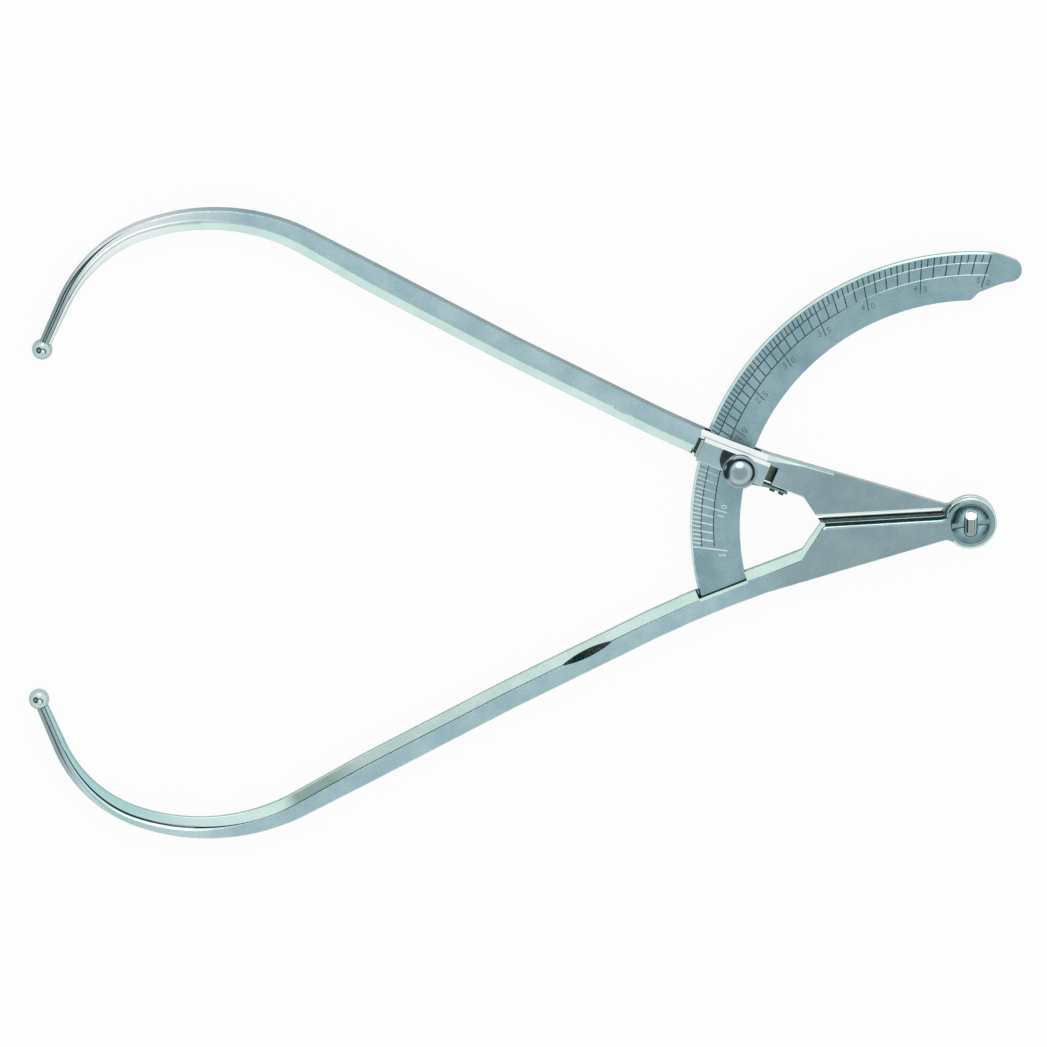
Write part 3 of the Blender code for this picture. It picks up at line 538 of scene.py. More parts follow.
def plate_rings(bevelled):
    """Rings across the hinge plate, from inside the eye to the start of the bar."""
    corner = Vector((-CORNER_BACK, -CORNER_SIDE))
    shoulder = Vector((-SHOULDER_BACK, SHOULDER_SIDE))
    bar_outer = bar_ends(0)[1]
    inner = neck_fillet(corner, Vector((-NECK_BACK, -NECK_INNER_SIDE)), -1)
    outer = neck_fillet(bar_outer, Vector((-NECK_BACK, NECK_OUTER_SIDE)), 1)
    small = (EDGE_BREAK, EDGE_BREAK)
    neck_bevel = (NECK_BEVEL_WIDTH, NECK_BEVEL_DEPTH)
    rings = [section_ring(inner[-1] / 2, outer[-1] / 2, ARM_THICKNESS, neck_bevel, small, 0, NECK_ROUNDING)]
    for low, high in reversed(list(zip(inner, outer))):
        rings.append(section_ring(low, high, ARM_THICKNESS, neck_bevel, small, 0, NECK_ROUNDING))
    corner_bevel = (DIAGONAL_BEVEL_WIDTH, BEVEL_DEPTH)
    shoulder_bevel = (BEVEL_WIDTH, BEVEL_DEPTH) if bevelled else small
    mitre = corner + (inner[0] - corner).normalized() * MITRE_LENGTH
    for place, bevel in ((mitre, neck_bevel), (corner, corner_bevel), (shoulder, shoulder_bevel)):
        share = (outer[0].x - place.x) / (outer[0].x - bar_outer.x)
        roundings = NECK_ROUNDING if place is mitre else EDGE_ROUNDING
        far_edge = between(outer[0], bar_outer, share)
        rings.append(section_ring(place, far_edge, ARM_THICKNESS, bevel, small, 0, roundings))
    return rings


def bar_stations(extra):
    stations = [0]
    start = 0
    for length, curvature in STRETCHES[:-1]:
        steps = max(2, math.ceil(length * abs(curvature) / RING_TURN))
        stations += [start + length * step / steps for step in range(1, steps + 1)]
        start += length
    return sorted(stations + extra)


def arm_blank(name, bevel_start, outer_bevel_end):
    """The blank of an arm as the window arm lies: bar, rod and hinge plate, less half the lap."""
    small = (EDGE_BREAK, EDGE_BREAK)
    full = (BEVEL_WIDTH, BEVEL_DEPTH)
    window = (WINDOW_BEVEL_WIDTH, WINDOW_BEVEL_DEPTH)
    rings = plate_rings(bevel_start == 0)
    run_out = []
    for edge in (bevel_start, outer_bevel_end):
        if edge:
            run_out += [edge - CLEARANCE, edge + CLEARANCE]
    for distance in bar_stations(run_out):
        inner, outer = bar_ends(distance)
        inner_bevel = full if distance >= bevel_start else small
        outer_bevel = window if distance <= outer_bevel_end else small
        roundness = eased((distance - HOOK_LINE_START) / (PRONG_START - HOOK_LINE_START))
        softness = eased((SOFT_START - inner.x) / SOFT_LENGTH)
        roundings = [between(*pair, softness) for pair in zip(EDGE_ROUNDING, HOOK_ROUNDING)]
        share = held((distance - CROWN_START) / (LINE_LENGTH - CROWN_START))
        thickness = between(ARM_THICKNESS, ROD_DIAMETER, share)
        rings.append(section_ring(inner, outer, thickness, inner_bevel, outer_bevel, roundness, roundings))
    rod_end = LINE_LENGTH - BALL_SEAT - SEAT_GAP
    spigot_end = rod_end + SPIGOT_LENGTH
    ends = ((rod_end, ROD_DIAMETER), (rod_end, SPIGOT_DIAMETER), (spigot_end, SPIGOT_DIAMETER))
    for distance, size in ends:
        point, slope = line_point(distance)
        half = outward(slope) * (size / 2)
        rings.append(section_ring(point - half, point + half, size, small, small, 1))
    blank = skin(name, rings)
    cut_lap(blank)
    eye = []
    for step in range(EYE_RIM_STEPS + 1):
        turn = EYE_RIM_TURN * step / EYE_RIM_STEPS
        reach = EYE_RIM_WIDTH * math.sin(turn) / math.sin(EYE_RIM_TURN)
        rise = EYE_RIM_DEPTH * (1 - math.cos(turn)) / (1 - math.cos(EYE_RIM_TURN))
        eye.append((EYE_RADIUS - EYE_RIM_WIDTH + reach, REAR + rise))
    eye += [(EYE_RADIUS, LAP_LEVEL - LAP_EDGE_BREAK), (EYE_RADIUS - LAP_EDGE_BREAK, LAP_LEVEL)]
    reshape(blank, turned("eye", eye), "UNION")
    recess = (HEAD_RADIUS + CLEARANCE, REAR - OVERRUN, REAR + RECESS_DEPTH)
    shank = (SHANK_RADIUS + RUNNING_GAP, REAR + RECESS_DEPTH, FRONT + OVERRUN)
    reshape(blank, turned("bore", stack(recess, shank)))
    return blank


def cut_lap(blank):
    """Take away the front half of the hinge plate, as far as the shoulder that stops the closing arms."""
    closing = Matrix.Rotation(-CLOSING_ANGLE, 2)
    corner = Vector((-CORNER_BACK, CORNER_SIDE))
    shoulder = Vector((-SHOULDER_BACK, -SHOULDER_SIDE))
    stop = [closing @ point for point in (corner, shoulder)]
    direction = (stop[0] - stop[1]).normalized()
    away = Vector((-direction.y, direction.x))
    reach = direction * BAR_START_BACK
    far = [Vector((BAR_START_BACK, BAR_START_BACK)), Vector((BAR_START_BACK, -BAR_START_BACK))]
    base = [stop[1] + away * CLEARANCE - reach, stop[0] + away * CLEARANCE + reach]
    reshape(blank, plate("lap", base + far, LAP_LEVEL, FRONT + OVERRUN))


ARC_START_GAP = 0.0050
ARC_WIDTH = 0.0167
ARC_THICKNESS = 0.0018
ARC_FOOT_REACH = 0.0022
ARC_PIN_REACH = 0.0005
ARC_PIN_SPACING = 0.0080
ARC_PIN_RADIUS = 0.0011
ARC_PIN_BITE = 0.0009
SLOT_MOUTH_TURN = math.radians(20.0)
SLOT_STEPS = 24
ARC_INNER_RADIUS = math.hypot(BAR_START_BACK, BAR_START_SIDE) + ARC_START_GAP
ARC_OUTER_RADIUS = ARC_INNER_RADIUS + ARC_WIDTH
ARC_REAR = MIDDLE - ARC_THICKNESS / 2
ARC_FRONT = MIDDLE + ARC_THICKNESS / 2
WINDOW_RADIUS = (ARC_OUTER_RADIUS + ARC_INNER_RADIUS) / 2
WINDOW_DISTANCE = line_at_radius(WINDOW_RADIUS)
WINDOW_POINT, WINDOW_SLOPE = line_point(WINDOW_DISTANCE)
SCALE_ARM_ANGLE = math.pi + math.atan2(WINDOW_POINT.y, -WINDOW_POINT.x)
ARC_FOOT_ANGLE = SCALE_ARM_ANGLE + ARC_FOOT_REACH / WINDOW_RADIUS
ARC_PIN_ANGLE = SCALE_ARM_ANGLE + ARC_PIN_REACH / WINDOW_RADIUS
TURNED_OVER = at(0, 0, MIDDLE) @ Matrix.Rotation(math.pi, 4, "X") @ at(0, 0, -MIDDLE)
# Lens-shaped nick that a wheel left on the edge between the front face and the bevel
NICK_FACE_REACH = 0.00006
NICK_FACING = 0.99
NICK_WIDTH = 0.0034
NICK_WHEEL_STEPS = 720
NICK_WHEEL_WIDTH = 0.012
LOWER_NICK_RADIUS = 0.144
LOWER_NICK_DISTANCE = 0.0640
LOWER_NICK_SHARE = 0.90
ARM_EDGE_BREAK = 0.00012


def grind_nick(arm, distance, side, depth_share, rim):
    """Grind a shallow hollow along the edge between the front face and the inner bevel."""
    point, slope = line_point(distance)
    edge = point - outward(slope) * (BAR_WIDTH / 2 - BEVEL_WIDTH)
    lean = math.atan2(BEVEL_DEPTH, BEVEL_WIDTH) / 2
    depth = NICK_WIDTH / 2 * math.tan(lean) * depth_share
    wheel = rod("wheel", rim, -NICK_WHEEL_WIDTH / 2, NICK_WHEEL_WIDTH / 2, NICK_WHEEL_STEPS)
    place = at(edge.x, side * edge.y, FRONT) @ Matrix.Rotation(math.pi - side * slope, 4, "Z")
    place = place @ Matrix.Rotation(-side * lean, 4, "X") @ at(0, 0, rim - depth)
    place = place @ Matrix.Rotation(math.pi / 2, 4, "X")
    reshape(arm, moved(wheel, place))
    return place.inverted()


def in_nick(face, to_wheel):
    """Whether a face lies in the hollow that the wheel ground."""
    place = to_wheel @ face.center
    facing = to_wheel.to_3x3() @ face.normal
    on_wheel = abs(place.xy.length - LOWER_NICK_RADIUS) < NICK_FACE_REACH
    square = facing.xy.dot(place.xy.normalized()) < -NICK_FACING
    return on_wheel and square and abs(place.z) < NICK_WHEEL_WIDTH / 2


CLOUD_GRAIN = 120
NOISE_DETAIL = 3.0
NOISE_SPAN = (0.35, 0.65)
PIVOT_TONE = (0.69, 0.69, 0.69)
PIVOT_FADE = (-0.090, -0.052)
# Painted reflection and shade: tones that paint the hooks lighter, the lower hook darker than the upper, and
# the prongs darker, as the studio's light falls on them
HOOK_FADE = (-0.285, -0.245)
HOOK_PAINTED_SHEEN = (0.840, 0.910, 0.910)
LOWER_HOOK_PAINTED_SHADE = (0.480, 0.660, 0.660)
LOWER_SIDE = (-0.02, 0.02)
BRIGHT_HOOK_PAINTED_SHEEN = (0.760, 0.840, 0.835)
BRIGHT_LOWER_PAINTED_SHADE = (0.390, 0.635, 0.620)
HOOK_RELIEF = 0.08
HOOK_ROUGHNESS = 0.10
PRONG_PAINTED_SHADE = (0.330, 0.430, 0.450)
PRONG_FADE = (-0.309, -0.296)
PRONG_ROUGHNESS = 0.20


def noise(tree, grain, stretch=(1, 1, 1), turn=0):
    """Noise on the piece itself; grain is the number of spots in a metre, and stretch drags them out."""
    where = add_node(tree, "TexCoord", {}, "Object")
    spread = add_node(tree, "Mapping", {"Vector": where, "Scale": stretch, "Rotation": (0, 0, turn)})
    return add_node(tree, "TexNoise", {"Vector": spread, "Scale": grain, "Detail": NOISE_DETAIL}, "Fac")


def plated(name, shade, light, roughness, grain, relief, stretch=(1, 1, 1), cloud=CLOUD_GRAIN, turn=0):
    """A metal finish: clouds of two tones, a fine grain in the roughness and a shallow relief."""
    material = bpy.data.materials.new(name)
    material.use_nodes = True
    tree = material.node_tree
    shader = tree.nodes["Principled BSDF"]
    clouds = ranged(tree, noise(tree, cloud), 0, 1, *NOISE_SPAN)
    fine = noise(tree, grain, stretch, turn)
    feed(tree, 1, shader.inputs["Metallic"])
    feed(tree, tinted(tree, shade, clouds, light), shader.inputs["Base Color"])
    feed(tree, ranged(tree, fine, *roughness, *NOISE_SPAN), shader.inputs["Roughness"])
    bump = add_node(tree, "Bump", {"Distance": relief, "Strength": 1, "Height": fine})
    feed(tree, bump, shader.inputs["Normal"])
    return material


def hook_tones(tree, tone, upper, lower):
    """Painted reflection: blend a finish towards a lighter tone on both hooks and on towards a darker one on
    the lower hook.
    """
    on_hook = falling(tree, place_along(tree, "X"), *HOOK_FADE)
    below = falling(tree, place_along(tree, "Y"), *LOWER_SIDE)
    tone = tinted(tree, tone, on_hook, upper)
    return on_hook, tinted(tree, tone, product(tree, on_hook, below), lower)


def brighten_hooks(material):
    """Paint reflected light into the bright plate: lighter on the upper hook and deeper on the lower one."""
    tree = material.node_tree
    colour = tree.nodes["Principled BSDF"].inputs["Base Color"]
    plain = colour.links[0].from_socket
    feed(tree, hook_tones(tree, plain, BRIGHT_HOOK_PAINTED_SHEEN, BRIGHT_LOWER_PAINTED_SHADE)[1], colour)


def blend_along(material):
    """Darken a finish round the pivot; on the hooks make it smoother and paint reflected light into it,
    lighter on the upper hook and darker on the lower, and paint shade on the prongs.
    """
    tree = material.node_tree
    inputs = tree.nodes["Principled BSDF"].inputs
    names = ("Base Color", "Roughness", "Normal")
    plain, grain, relief = (inputs[name].links[0].from_socket for name in names)
    near_pivot = rising(tree, place_along(tree, "X"), *PIVOT_FADE)
    tones = {"Factor": near_pivot, "A": plain, "B": PIVOT_TONE}
    darker = add_node(tree, "Mix", tones, "Result", data_type="RGBA", blend_type="MULTIPLY")
    on_hook, tone = hook_tones(tree, darker, HOOK_PAINTED_SHEEN, LOWER_HOOK_PAINTED_SHADE)
    on_prong = falling(tree, place_along(tree, "X"), *PRONG_FADE)
    feed(tree, tinted(tree, tone, on_prong, PRONG_PAINTED_SHADE), inputs["Base Color"])
    for share, gloss in ((on_hook, HOOK_ROUGHNESS), (on_prong, PRONG_ROUGHNESS)):
        grain = add_node(tree, "Mix", {"Factor": share, "A": grain, "B": gloss}, "Result")
    feed(tree, grain, inputs["Roughness"])
    feed(tree, ranged(tree, on_hook, 1, HOOK_RELIEF), relief.node.inputs["Strength"])


satin_plate = plated("satin plate", shade=(0.325, 0.465, 0.510), light=(0.400, 0.540, 0.580),
                     roughness=(0.26, 0.34), grain=2600, relief=0.0000008, stretch=(1, 0.35, 1))
bright_plate = plated("bright plate", shade=(0.560, 0.740, 0.690), light=(0.640, 0.800, 0.760),
                      roughness=(0.05, 0.12), grain=900, relief=0.0000006)
# Painted shade: the walls of the arc's slot and of the notch are painted dark, with a dull grain
slot_wall_shade = plated("dull slot wall with painted shade", shade=(0.016, 0.085, 0.080), light=(0.035, 0.130, 0.120),
                   roughness=(0.30, 0.45), grain=2500, relief=0.000002)
ground_nick = plated("ground nick", shade=(0.020, 0.075, 0.070), light=(0.330, 0.325, 0.300),
                     roughness=(0.15, 0.30), grain=1500, relief=0.000001, cloud=90)
# Paint reflected light on the hooks and shade on the prongs into the arms' plate
blend_along(satin_plate)
brighten_hooks(bright_plate)
NOTCH_FOOT = 0.0009
NOTCH_KNEE = 0.0003
NOTCH_EDGE = 0.0005
NOTCH_STEP = FRONT - NOTCH_KNEE - NOTCH_EDGE
ARM_SHARPNESS = math.radians(14)
SATIN_LEAN = 0.985
BEVEL_LEAN = 0.95
NOTCH_LEAN = 0.5
SLOT_LEAN = -0.3
SLOT_FACE_SHARE = 0.6
SLOT_END = -0.1
HOOK_START = -0.262
FACE_SHARE = 0.16
HOOK_STATIONS = []
for step in range(round((LINE_LENGTH - CROWN_START) / OVERRUN)):
    station = CROWN_START + step * OVERRUN
    HOOK_STATIONS.append((*line_point(station), (bar_ends(station)[1] - bar_ends(station)[0]).length))


def is_flat(face):
    return abs(face.normal.z) > SATIN_LEAN


def on_face_side(face):
    """Whether a face of an arm counts as its front face: flat on the bar, the outer part of the hook."""
    place = face.center
    if place.x > HOOK_START:
        return is_flat(face)
    point = Vector((place.x, abs(place.y)))
    nearest = min(HOOK_STATIONS, key=lambda station: (station[0] - point).length_squared)
    offset = (point - nearest[0]).dot(outward(nearest[1]))
    return face.normal.z > 0 and offset > -FACE_SHARE * nearest[2]


def in_slot(face):
    """Whether a face of the scale arm is a wall of the arc's slot or of the notch above it, where shade is
    painted.
    """
    low = ARC_REAR < face.center.z < NOTCH_STEP and not NOTCH_LEAN < face.normal.z < BEVEL_LEAN
    at_arc = abs(face.center.xy.length - WINDOW_RADIUS) < ARC_WIDTH * SLOT_FACE_SHARE
    return low and at_arc and face.normal.y > SLOT_LEAN and face.center.x > SLOT_END


def dress(piece, flat, rest, chosen=is_flat):
    """Give the chosen faces one finish and the rest another."""
    piece.data.materials.clear()
    piece.data.materials.append(rest)
    piece.data.materials.append(flat)
    for face in piece.data.polygons:
        face.material_index = 1 if chosen(face) else 0


def redress(piece, finish, chosen):
    """Give the chosen faces of a dressed piece one more finish."""
    piece.data.materials.append(finish)
    for face in piece.data.polygons:
        if chosen(face):
            face.material_index = len(piece.data.materials) - 1


def hand_over(piece, body, node):
    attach(piece, body)
    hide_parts(node)


def sector(inner_radius, outer_radius, start, end, steps):
    angles = [between(start, end, step / steps) for step in range(steps + 1)]
    outline = [polar(outer_radius, angle) for angle in angles]
    return outline + [polar(inner_radius, angle) for angle in reversed(angles)]


def arc_pins():
    shift = ARC_PIN_SPACING / 2
    return (("arc_pin_inner", WINDOW_RADIUS - shift), ("arc_pin_outer", WINDOW_RADIUS + shift))


def drill_pins(piece, low, high):
    """Drill the two holes of the arc's pins."""
    for name, radius in arc_pins():
        hole = rod("hole", ARC_PIN_RADIUS + RUNNING_GAP, low, high)
        reshape(piece, moved(hole, at(*polar(radius, ARC_PIN_ANGLE))))


def make_scale_arm():
    arm = moved(arm_blank("scale_arm_forging", 0, 0), TURNED_OVER)
    low = ARC_REAR - SEAT_GAP
    high = ARC_FRONT + SEAT_GAP
    inner = ARC_INNER_RADIUS - CLEARANCE
    outer = ARC_OUTER_RADIUS + CLEARANCE
    foot = ARC_FOOT_ANGLE + CLEARANCE / WINDOW_RADIUS
    mouth = ARC_FOOT_ANGLE - SLOT_MOUTH_TURN
    reshape(arm, plate("slot", sector(inner, outer, foot, mouth, SLOT_STEPS), low, high))
    edge = [line_point(line_at_radius(radius)) for radius in (inner, outer)]

    def notch_outline(step):
        shift = BAR_WIDTH / 2 - BEVEL_WIDTH + step
        wall = [point - outward(slope) * shift for point, slope in edge]
        free = [point - outward(slope) * BAR_WIDTH for point, slope in edge]
        return [(point.x, -point.y) for point in (wall[0], wall[1], free[1], free[0])]

    foot_line = notch_outline(NOTCH_FOOT)
    knee = notch_outline(NOTCH_KNEE)
    top = notch_outline(NOTCH_KNEE - (FRONT + OVERRUN - NOTCH_STEP))
    reshape(arm, plate("notch", foot_line, MIDDLE, NOTCH_STEP, knee))
    reshape(arm, plate("notch edge", knee, NOTCH_STEP - RUNNING_GAP, FRONT + OVERRUN, top))
    drill_pins(arm, REAR - OVERRUN, high + ARC_PIN_BITE + CLEARANCE)
    to_wheel = grind_nick(arm, LOWER_NICK_DISTANCE, -1, LOWER_NICK_SHARE, LOWER_NICK_RADIUS)
    smooth_piece(arm, ARM_SHARPNESS)
    dress(arm, satin_plate, bright_plate, on_face_side)
    # The slot and notch walls get the painted shade
    redress(arm, slot_wall_shade, in_slot)
    redress(arm, ground_nick, lambda face: in_nick(face, to_wheel))
    hand_over(arm, "scale_arm", "scale_arm")


make_scale_arm()

# Graduated arc: a flat ring sector of steel, let into the scale arm and pinned. Its front is plated satin
# and engraved: half centimetres outside, centimetres further in, and a long line and numeral at each fifth.
ARC_NOTCH_ANGLE = math.radians(91.5)
ARC_NOTCH_TURN = math.radians(3.2)
TONGUE_WIDTH = 0.0135
TONGUE_END_RADIUS = 0.0040
TONGUE_END_DROP = 0.0055
TONGUE_END_ANGLE = math.radians(82.5)
TONGUE_OUTER_TURN = math.radians(18)
TONGUE_INNER_TURN = math.radians(25)
TONGUE_INNER_RADIUS = ARC_OUTER_RADIUS - TONGUE_WIDTH
ARC_STEPS = 180
NOTCH_STEPS = 12
TONGUE_STEPS = 8
TONGUE_END_STEPS = 24
ARC_RIM_BEVEL = 0.0006
GROOVE_WIDTH = 0.00042
GROOVE_DEPTH = 0.00012
LINE_WIDTH = 0.00034
LINE_INSETS = (0.0036, 0.0078)
TICK_START = 0.0007
TICK_SLANT = math.radians(12.9)
LONG_TICK_END = 0.0124
ARM_REACH = 0.310
CLOSED_ANGLE = math.radians(194.7)
FIRST_READING = 0.050
LAST_READING = 0.500
READING_STEP = 0.005
NUMERAL_STEP = 0.050
NUMERAL_HEIGHT = 0.0030
NUMERAL_INSET = 0.0110
LAST_NUMERAL_INSET = 0.0103
NUMERAL_SHIFT = 0.0017
LINE_STEPS = 160
NUMERAL_CURVE_STEPS = 3
CENTIMETRES = 100
MERGE_DISTANCE = 0.000001
ARC_SHARPNESS = math.radians(20)
MARK_TOP = 0.000005
MARK_BOTTOM = 0.00018
RADIAL_LEAN = 0.6
GROOVE_SHADE = (0.085, 0.140, 0.160)
GROOVE_LIGHT = (0.780, 0.860, 0.850)
NUMERAL_TONE = (0.150, 0.220, 0.250)
NUMERAL_CLEARANCE = 0.0008
TICK_CHANGE = (0.020, 0.028)
CIRCLE_CHANGE = (0.070, 0.085)
arc_plate = plated("satin arc plate", shade=(0.210, 0.345, 0.375), light=(0.280, 0.410, 0.450),
                   roughness=(0.26, 0.38), grain=2200, relief=0.0000025)


def tongue_outline():
    """The arc's outline: a ring sector that narrows from its inner edge to a rounded tongue."""
    end_centre = ARC_OUTER_RADIUS - TONGUE_END_DROP
    outer = []
    inner = []
    for step in range(ARC_STEPS + 1):
        angle = between(ARC_FOOT_ANGLE, ARC_NOTCH_ANGLE, step / ARC_STEPS)
        outer.append(polar(ARC_OUTER_RADIUS, angle))
        inner.append(polar(ARC_INNER_RADIUS, angle))
    notch_end = ARC_NOTCH_ANGLE - ARC_NOTCH_TURN
    for step in range(1, NOTCH_STEPS + 1):
        share = step / NOTCH_STEPS
        angle = between(ARC_NOTCH_ANGLE, notch_end, share)
        outer.append(polar(ARC_OUTER_RADIUS, angle))
        inner.append(polar(between(ARC_INNER_RADIUS, TONGUE_INNER_RADIUS, eased(share)), angle))
    for step in range(1, TONGUE_STEPS):
        share = step / TONGUE_STEPS
        angle = between(notch_end, TONGUE_END_ANGLE, share)
        outer.append(polar(between(ARC_OUTER_RADIUS, end_centre + TONGUE_END_RADIUS, share ** 2), angle))
        inner.append(polar(between(TONGUE_INNER_RADIUS, end_centre - TONGUE_END_RADIUS, share), angle))
    centre = polar(end_centre, TONGUE_END_ANGLE)
    end = []
    first = TONGUE_END_ANGLE - TONGUE_OUTER_TURN
    last = TONGUE_END_ANGLE - math.pi + TONGUE_INNER_TURN
    for step in range(TONGUE_END_STEPS + 1):
        end.append(centre + polar(TONGUE_END_RADIUS, between(first, last, step / TONGUE_END_STEPS)))
    return outer + end + inner[::-1]


def reading_angle(reading):
    """Polar angle of the tick for a reading between the two balls."""
    return CLOSED_ANGLE - 2 * math.asin(reading / (2 * ARM_REACH))


def add_groove(bm, start, end, width):
    """A V-shaped cutter from one point to another, deepest along its middle."""
    direction = (end - start).normalized()
    half = Vector((-direction.y, direction.x)) * width
    top = ARC_FRONT + GROOVE_DEPTH
    bottom = ARC_FRONT - GROOVE_DEPTH
    base = [bm.verts.new((*point, bottom)) for point in (start, end)]
    left = [bm.verts.new((*(point + half), top)) for point in (start, end)]
    right = [bm.verts.new((*(point - half), top)) for point in (start, end)]
    for corners in ((left[0], left[1], base[1], base[0]), (right[1], right[0], base[0], base[1]),
                    (left[1], left[0], right[0], right[1]), (left[0], base[0], right[0]),
                    (left[1], right[1], base[1])):
        bm.faces.new(corners)


def tick_point(angle, inset):
    """Point on a slanted tick, at a distance in from the arc's outer edge."""
    middle = polar(ARC_OUTER_RADIUS - LINE_INSETS[0], angle)
    return middle - polar(1, angle - TICK_SLANT) * (inset - LINE_INSETS[0])


def ticks():
    bm = bmesh.new()
    count = round((LAST_READING - FIRST_READING) / READING_STEP)
    for number in range(count + 1):
        reading = FIRST_READING + number * READING_STEP
        angle = reading_angle(reading)
        steps = round(reading / READING_STEP)
        reach = LINE_INSETS[0]
        if steps % 2 == 0:
            reach = LINE_INSETS[1]
        if steps % round(NUMERAL_STEP / READING_STEP) == 0 or number == 0:
            reach = LONG_TICK_END
        add_groove(bm, tick_point(angle, TICK_START), tick_point(angle, reach), GROOVE_WIDTH)
    return from_bmesh("ticks", bm)


def circles():
    bm = bmesh.new()
    top = ARC_FRONT + GROOVE_DEPTH
    ends = (reading_angle(FIRST_READING), reading_angle(LAST_READING))
    for inset in LINE_INSETS:
        radius = ARC_OUTER_RADIUS - inset
        points = ((radius + LINE_WIDTH, top), (radius - LINE_WIDTH, top), (radius, ARC_FRONT - GROOVE_DEPTH))
        rings = []
        for step in range(LINE_STEPS + 1):
            angle = between(*ends, step / LINE_STEPS)
            rings.append([(*polar(reach, angle), level) for reach, level in points])
        draw_skin(bm, rings)
    return from_bmesh("circles", bm)


def numerals():
    """The numerals, spread to both sides of their long ticks and standing with their heads outwards."""
    marks = []
    for number in range(1, round(LAST_READING / NUMERAL_STEP) + 1):
        reading = number * NUMERAL_STEP
        figures = str(round(reading * CENTIMETRES))
        shifts = (-NUMERAL_SHIFT, NUMERAL_SHIFT)[:len(figures)]
        marks += [(reading, figure, shift) for figure, shift in zip(figures, shifts)]
    pieces = []
    for reading, figure, shift in marks:
        bpy.ops.object.select_all(action="DESELECT")
        bpy.ops.object.text_add(location=(0, 0, 0))
        text = bpy.context.object
        text.data.body = figure
        text.data.size = NUMERAL_HEIGHT
        text.data.align_x = "CENTER"
        text.data.align_y = "CENTER"
        text.data.extrude = GROOVE_DEPTH
        text.data.resolution_u = NUMERAL_CURVE_STEPS
        bpy.ops.object.convert(target="MESH")
        angle = reading_angle(reading)
        place = tick_point(angle, NUMERAL_INSET if reading < LAST_READING else LAST_NUMERAL_INSET)
        turn = Matrix.Rotation(angle - TICK_SLANT - math.pi / 2, 4, "Z")
        pieces.append(moved(text, at(*place, ARC_FRONT) @ turn @ at(shift, 0)))
    only(pieces[0])
    for piece in pieces:
        piece.select_set(True)
    bpy.ops.object.join()
    bpy.ops.object.mode_set(mode="EDIT")
    bpy.ops.mesh.select_all(action="SELECT")
    bpy.ops.mesh.remove_doubles(threshold=MERGE_DISTANCE)
    bpy.ops.mesh.normals_make_consistent(inside=False)
    bpy.ops.object.mode_set(mode="OBJECT")
    return pieces[0]


def bevel_rim(arc):
    """Bevel the front edge of the arc's outer side."""
    bm = bmesh.new()
    bm.from_mesh(arc.data)
    rim = []
    for edge in bm.edges:
        ends = [point.co for point in edge.verts]
        at_front = all(abs(point.z - ARC_FRONT) < RUNNING_GAP / 2 for point in ends)
        outside = all(abs(point.xy.length - ARC_OUTER_RADIUS) < RUNNING_GAP for point in ends)
        if at_front and outside:
            rim.append(edge)
    bmesh.ops.bevel(bm, geom=rim, offset=ARC_RIM_BEVEL, segments=1, affect="EDGES")
    bm.to_mesh(arc.data)
    bm.free()


def make_cut_finish(name, foot_tone, end_tone, change):
    """Engraving that has one tone near the foot and another towards the free end."""
    material = plated(name, foot_tone, foot_tone, roughness=(0.3, 0.5), grain=3000, relief=0.000001)
    tree = material.node_tree
    rise = rising(tree, place_along(tree, "Y"), *change)
    feed(tree, tinted(tree, foot_tone, rise, end_tone), tree.nodes["Principled BSDF"].inputs["Base Color"])
    return material


def mark_slot(face, slot):
    """The finish of a face of the arc: 2 in a tick, 3 in a circle, 4 in a numeral, 0 on the bevelled rim."""
    depth = ARC_FRONT - face.center.z
    radius = face.center.xy.length
    if MARK_TOP < depth < MARK_BOTTOM and abs(face.normal.z) < SATIN_LEAN:
        radial = abs(face.normal.xy.dot(face.center.xy.normalized()))
        slot = 3 if radial > RADIAL_LEAN * face.normal.xy.length else 2
        if ARC_OUTER_RADIUS - radius > LINE_INSETS[1] + NUMERAL_CLEARANCE:
            slot = 4
    elif RUNNING_GAP < depth < MARK_BOTTOM:
        slot = 4
    if abs(depth) < ARC_RIM_BEVEL and radius > ARC_OUTER_RADIUS - ARC_RIM_BEVEL:
        slot = 0
    return slot


def make_arc():
    arc = plate("graduated_arc_plate", tongue_outline(), ARC_REAR, ARC_FRONT)
    drill_pins(arc, ARC_REAR - OVERRUN, ARC_FRONT + OVERRUN)
    bevel_rim(arc)
    for cutter in (ticks(), circles(), numerals()):
        reshape(arc, cutter)
    smooth_piece(arc, ARC_SHARPNESS)
    dress(arc, arc_plate, bright_plate)
    for finish in (("engraved ticks", GROOVE_LIGHT, GROOVE_SHADE, TICK_CHANGE),
                   ("engraved circles", GROOVE_SHADE, GROOVE_LIGHT, CIRCLE_CHANGE),
                   ("engraved numerals", GROOVE_LIGHT, NUMERAL_TONE, TICK_CHANGE)):
        arc.data.materials.append(make_cut_finish(*finish))
    for face in arc.data.polygons:
        face.material_index = mark_slot(face, face.material_index)
    hand_over(arc, "scale_arm", "graduated_arc")


make_arc()

# Balls: two turned steel balls, one at the end of each arm, that touch the body that is measured.
# They are drilled, pressed on the spigots of the rods, and polished.
BALL_SEGMENTS = 64
BALL_RINGS = 48
ball_finish = plated("polished ball", shade=(0.50, 0.64, 0.64), light=(0.60, 0.74, 0.73),
                     roughness=(0.15, 0.21), grain=800, relief=0.0000004)


def hand_over_plain(piece, finish, body, node):
    """Smooth a piece that has one finish all over, and hand it over."""
    smooth_piece(piece)
    dress(piece, finish, finish)
    hand_over(piece, body, node)


